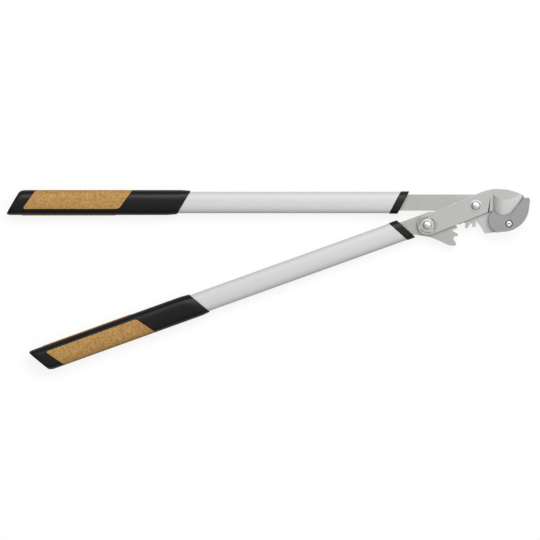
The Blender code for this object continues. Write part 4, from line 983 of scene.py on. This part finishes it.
def inlay(name, outward, inward, border):
    # the part of a shell round the grip's skin that lies inside a border
    first = inlaySpan(padForm, inlayForm["startRoom"])[0]
    last = gripEnd - gripForm["noseReach"]
    room = inlayForm["hollowRoom"]
    piece = gripBody(name, -outward, first, last)
    combined(piece, gripBody("inlayHollow", inward, first - room, last + room), "DIFFERENCE")
    combined(piece, border, "INTERSECT")
    return settle(piece)


def setInlay(piece, edge, prefix, finish, node):
    rounded(piece, edge, 2, 50.0)
    onHandle(piece, prefix)
    finished(piece, prefix + "_handle", materials[finish], [prefix + node], 40.0)


def makeGrip(prefix, body):
    form = gripForm
    seat = handleForm["seat"]
    pocket = (tubeWidth / 2.0 + seat, tubeDepth / 2.0 + seat)
    pocketEnd = gripEnd - tubeForm["endRoom"] + seat
    start, lip, reach = form["start"], form["lip"], form["noseReach"]
    mouthWide, mouthDeep = gripHalf(start)
    bodyStart, noseStart = start + form["taper"], gripEnd - reach
    count = int((noseStart - bodyStart) / form["bodyStep"])
    rings = [(pocketEnd, *pocket), (start, *pocket)]
    rings += [(start + lip * (1.0 - cosine), mouthWide - lip * (1.0 - sine), mouthDeep - lip * (1.0 - sine))
              for sine, cosine in quarterTurn(form["lipSteps"])]
    setbacks = steps(start + lip, bodyStart, form["taperSteps"])[1:] + steps(bodyStart, noseStart, count)[1:]
    rings += [(setback, *gripHalf(setback)) for setback in setbacks]
    for sine, cosine in quarterTurn(form["noseSteps"], 1):
        share = 1.0 - (1.0 - form["noseShare"]) * (1.0 - cosine) ** form["noseRound"]
        rings.append((noseStart + reach * sine, gripWidth / 2.0 * share, gripDepth / 2.0 * share))
    grip = ovalPiece(prefix + "GripShell", rings)
    leaned(grip, handleForm["gripSlant"])
    settle(grip)
    cut = inlayForm["cutRoom"]
    combined(grip, inlay("padRoom", cut, padForm["thickness"] + seat, padBorder(seat)), "DIFFERENCE")
    combined(grip, inlay("stripeRoom", cut, stripeForm["thickness"] + seat, stripeBorder(seat)), "DIFFERENCE")
    onHandle(grip, prefix)
    finished(grip, body, materials["grip"], [prefix + "_grip"], 40.0)

    pad = inlay(prefix + "CorkPad", 0.0, padForm["thickness"], padBorder(0.0))
    setInlay(pad, padForm["edge"], prefix, "cork", "_cork_pad")
    stripe = inlay(prefix + "GripStripe", stripeForm["proud"], stripeForm["thickness"], stripeBorder(0.0))
    setInlay(stripe, stripeForm["edge"], prefix, "orange", "_grip_stripe")


makePlates()
makeBolts()
makeDisc()
makeWasherAndNut("main", mainPivot)
makeWasherAndNut("gear", gearPivot)
makeScrew()
for prefix in ("upper", "lower"):
    body = prefix + "_handle"
    makeTube(prefix, body)
    makeCollar(prefix, body)
    makeGrip(prefix, body)
print("pieces made")

# CAD nodes inside the handles and the pivots keep their shape and get their finish
insideFinishes = {
    "upper_tang_core": "core", "lower_tang_core": "core",
    "main_pivot_bushing": "mainBronze", "gear_pivot_bushing": "gearBronze",
    "upper_pin_front": "mainZinc", "upper_pin_rear": "mainZinc",
    "lower_pin_front": "gearZinc", "lower_pin_rear": "gearZinc",
}
for node, finish in insideFinishes.items():
    painted(frame["nodes"][node], materials[finish])
print("inside nodes finished")


# Stage: a white floor, a soft sky that is brighter above and to the right, and one long lamp
stageForm = {"floorSize": 40.0, "floorDrop": 0.0004, "floorColour": 0.20, "floorLift": 0.832,
             "skyTop": 0.70, "skyRim": 0.12, "skyRimHeight": 0.80, "skyLean": (0.50, 0.25, 0.0),
             "lampPlace": (0.15, 1.14, 1.80), "lampAim": (-0.25, -0.098, 0.0), "lampLength": 2.6,
             "lampWidth": 1.0, "lampPower": 26.0}


def makeFloor():
    form = stageForm
    floor = startFrom(bpy.ops.mesh.primitive_plane_add, "studioFloor", size=form["floorSize"],
                      location=(0.0, 0.0, -form["floorDrop"]))
    material = bpy.data.materials.new("studioFloorPaint")
    material.use_nodes = True
    tree = material.node_tree
    tree.nodes.remove(tree.nodes["Principled BSDF"])
    # white to the camera and in reflections, and dimmer as a source of light
    rays = tree.nodes.new("ShaderNodeLightPath").outputs
    seen = worked(tree, "MAXIMUM", rays["Is Camera Ray"], rays["Is Glossy Ray"])
    seen = worked(tree, "MAXIMUM", seen, rays["Is Transmission Ray"])
    glow = added(tree, "ShaderNodeEmission", Strength=worked(tree, "MULTIPLY", seen, form["floorLift"]))
    paint = added(tree, "ShaderNodeBsdfDiffuse", Color=(form["floorColour"],) * 3 + (1.0,))
    both = added(tree, "ShaderNodeAddShader", i0=paint.outputs[0], i1=glow.outputs[0])
    clear = tree.nodes.new("ShaderNodeBsdfTransparent")
    geometry = tree.nodes.new("ShaderNodeNewGeometry")
    oneSided = added(tree, "ShaderNodeMixShader", i0=geometry.outputs["Backfacing"], i1=both.outputs[0],
                     i2=clear.outputs[0])
    tree.links.new(oneSided.outputs[0], tree.nodes["Material Output"].inputs["Surface"])
    painted(floor, material)


def makeSky():
    form = stageForm
    world = bpy.data.worlds.new("softStudio")
    bpy.context.scene.world = world
    world.use_nodes = True
    tree = world.node_tree
    direction = tree.nodes.new("ShaderNodeTexCoord").outputs["Generated"]
    level = added(tree, "ShaderNodeMapRange", {"interpolation_type": "SMOOTHSTEP"},
                  i0=worked(tree, "ABSOLUTE", axesOf(tree, direction)["Z"]), i1=0.0, i2=form["skyRimHeight"],
                  i3=form["skyRim"], i4=form["skyTop"])
    lean = vectorWorked(tree, "DOT_PRODUCT", direction, form["skyLean"])
    share = worked(tree, "ADD", lean.outputs["Value"], 1.0)
    background = tree.nodes["Background"]
    background.inputs["Color"].default_value = (1.0, 1.0, 1.0, 1.0)
    tree.links.new(worked(tree, "MULTIPLY", level.outputs[0], share), background.inputs["Strength"])


def makeLamp():
    form = stageForm
    data = bpy.data.lights.new("softLamp", "AREA")
    data.shape = "RECTANGLE"
    data.size = form["lampLength"]
    data.size_y = form["lampWidth"]
    data.energy = form["lampPower"]
    lamp = bpy.data.objects.new("softLamp", data)
    bpy.context.scene.collection.objects.link(lamp)
    lamp.location = form["lampPlace"]
    aim = Vector(form["lampAim"]) - Vector(form["lampPlace"])
    lamp.rotation_euler = aim.to_track_quat("-Z", "Y").to_euler()
    lamp.visible_camera = False


# Camera: straight above, far off with a long lens, and framed as the photograph
cameraForm = {"centre": (-0.3148, -0.0980), "frameWidth": 0.8267, "lens": 400.0, "sensor": 36.0}


def makeCamera():
    form = cameraForm
    data = bpy.data.cameras.new("photoCamera")
    data.lens = form["lens"]
    data.sensor_width = form["sensor"]
    data.clip_end = 100.0
    camera = bpy.data.objects.new("photoCamera", data)
    bpy.context.scene.collection.objects.link(camera)
    away = form["frameWidth"] * form["lens"] / form["sensor"]
    camera.location = (*form["centre"], mainPivot.z + away)
    camera.rotation_euler = (0.0, 0.0, 0.0)
    bpy.context.scene.camera = camera


makeFloor()
makeSky()
makeLamp()
makeCamera()
bpy.context.scene.view_settings.view_transform = "Standard"
print("stage made")
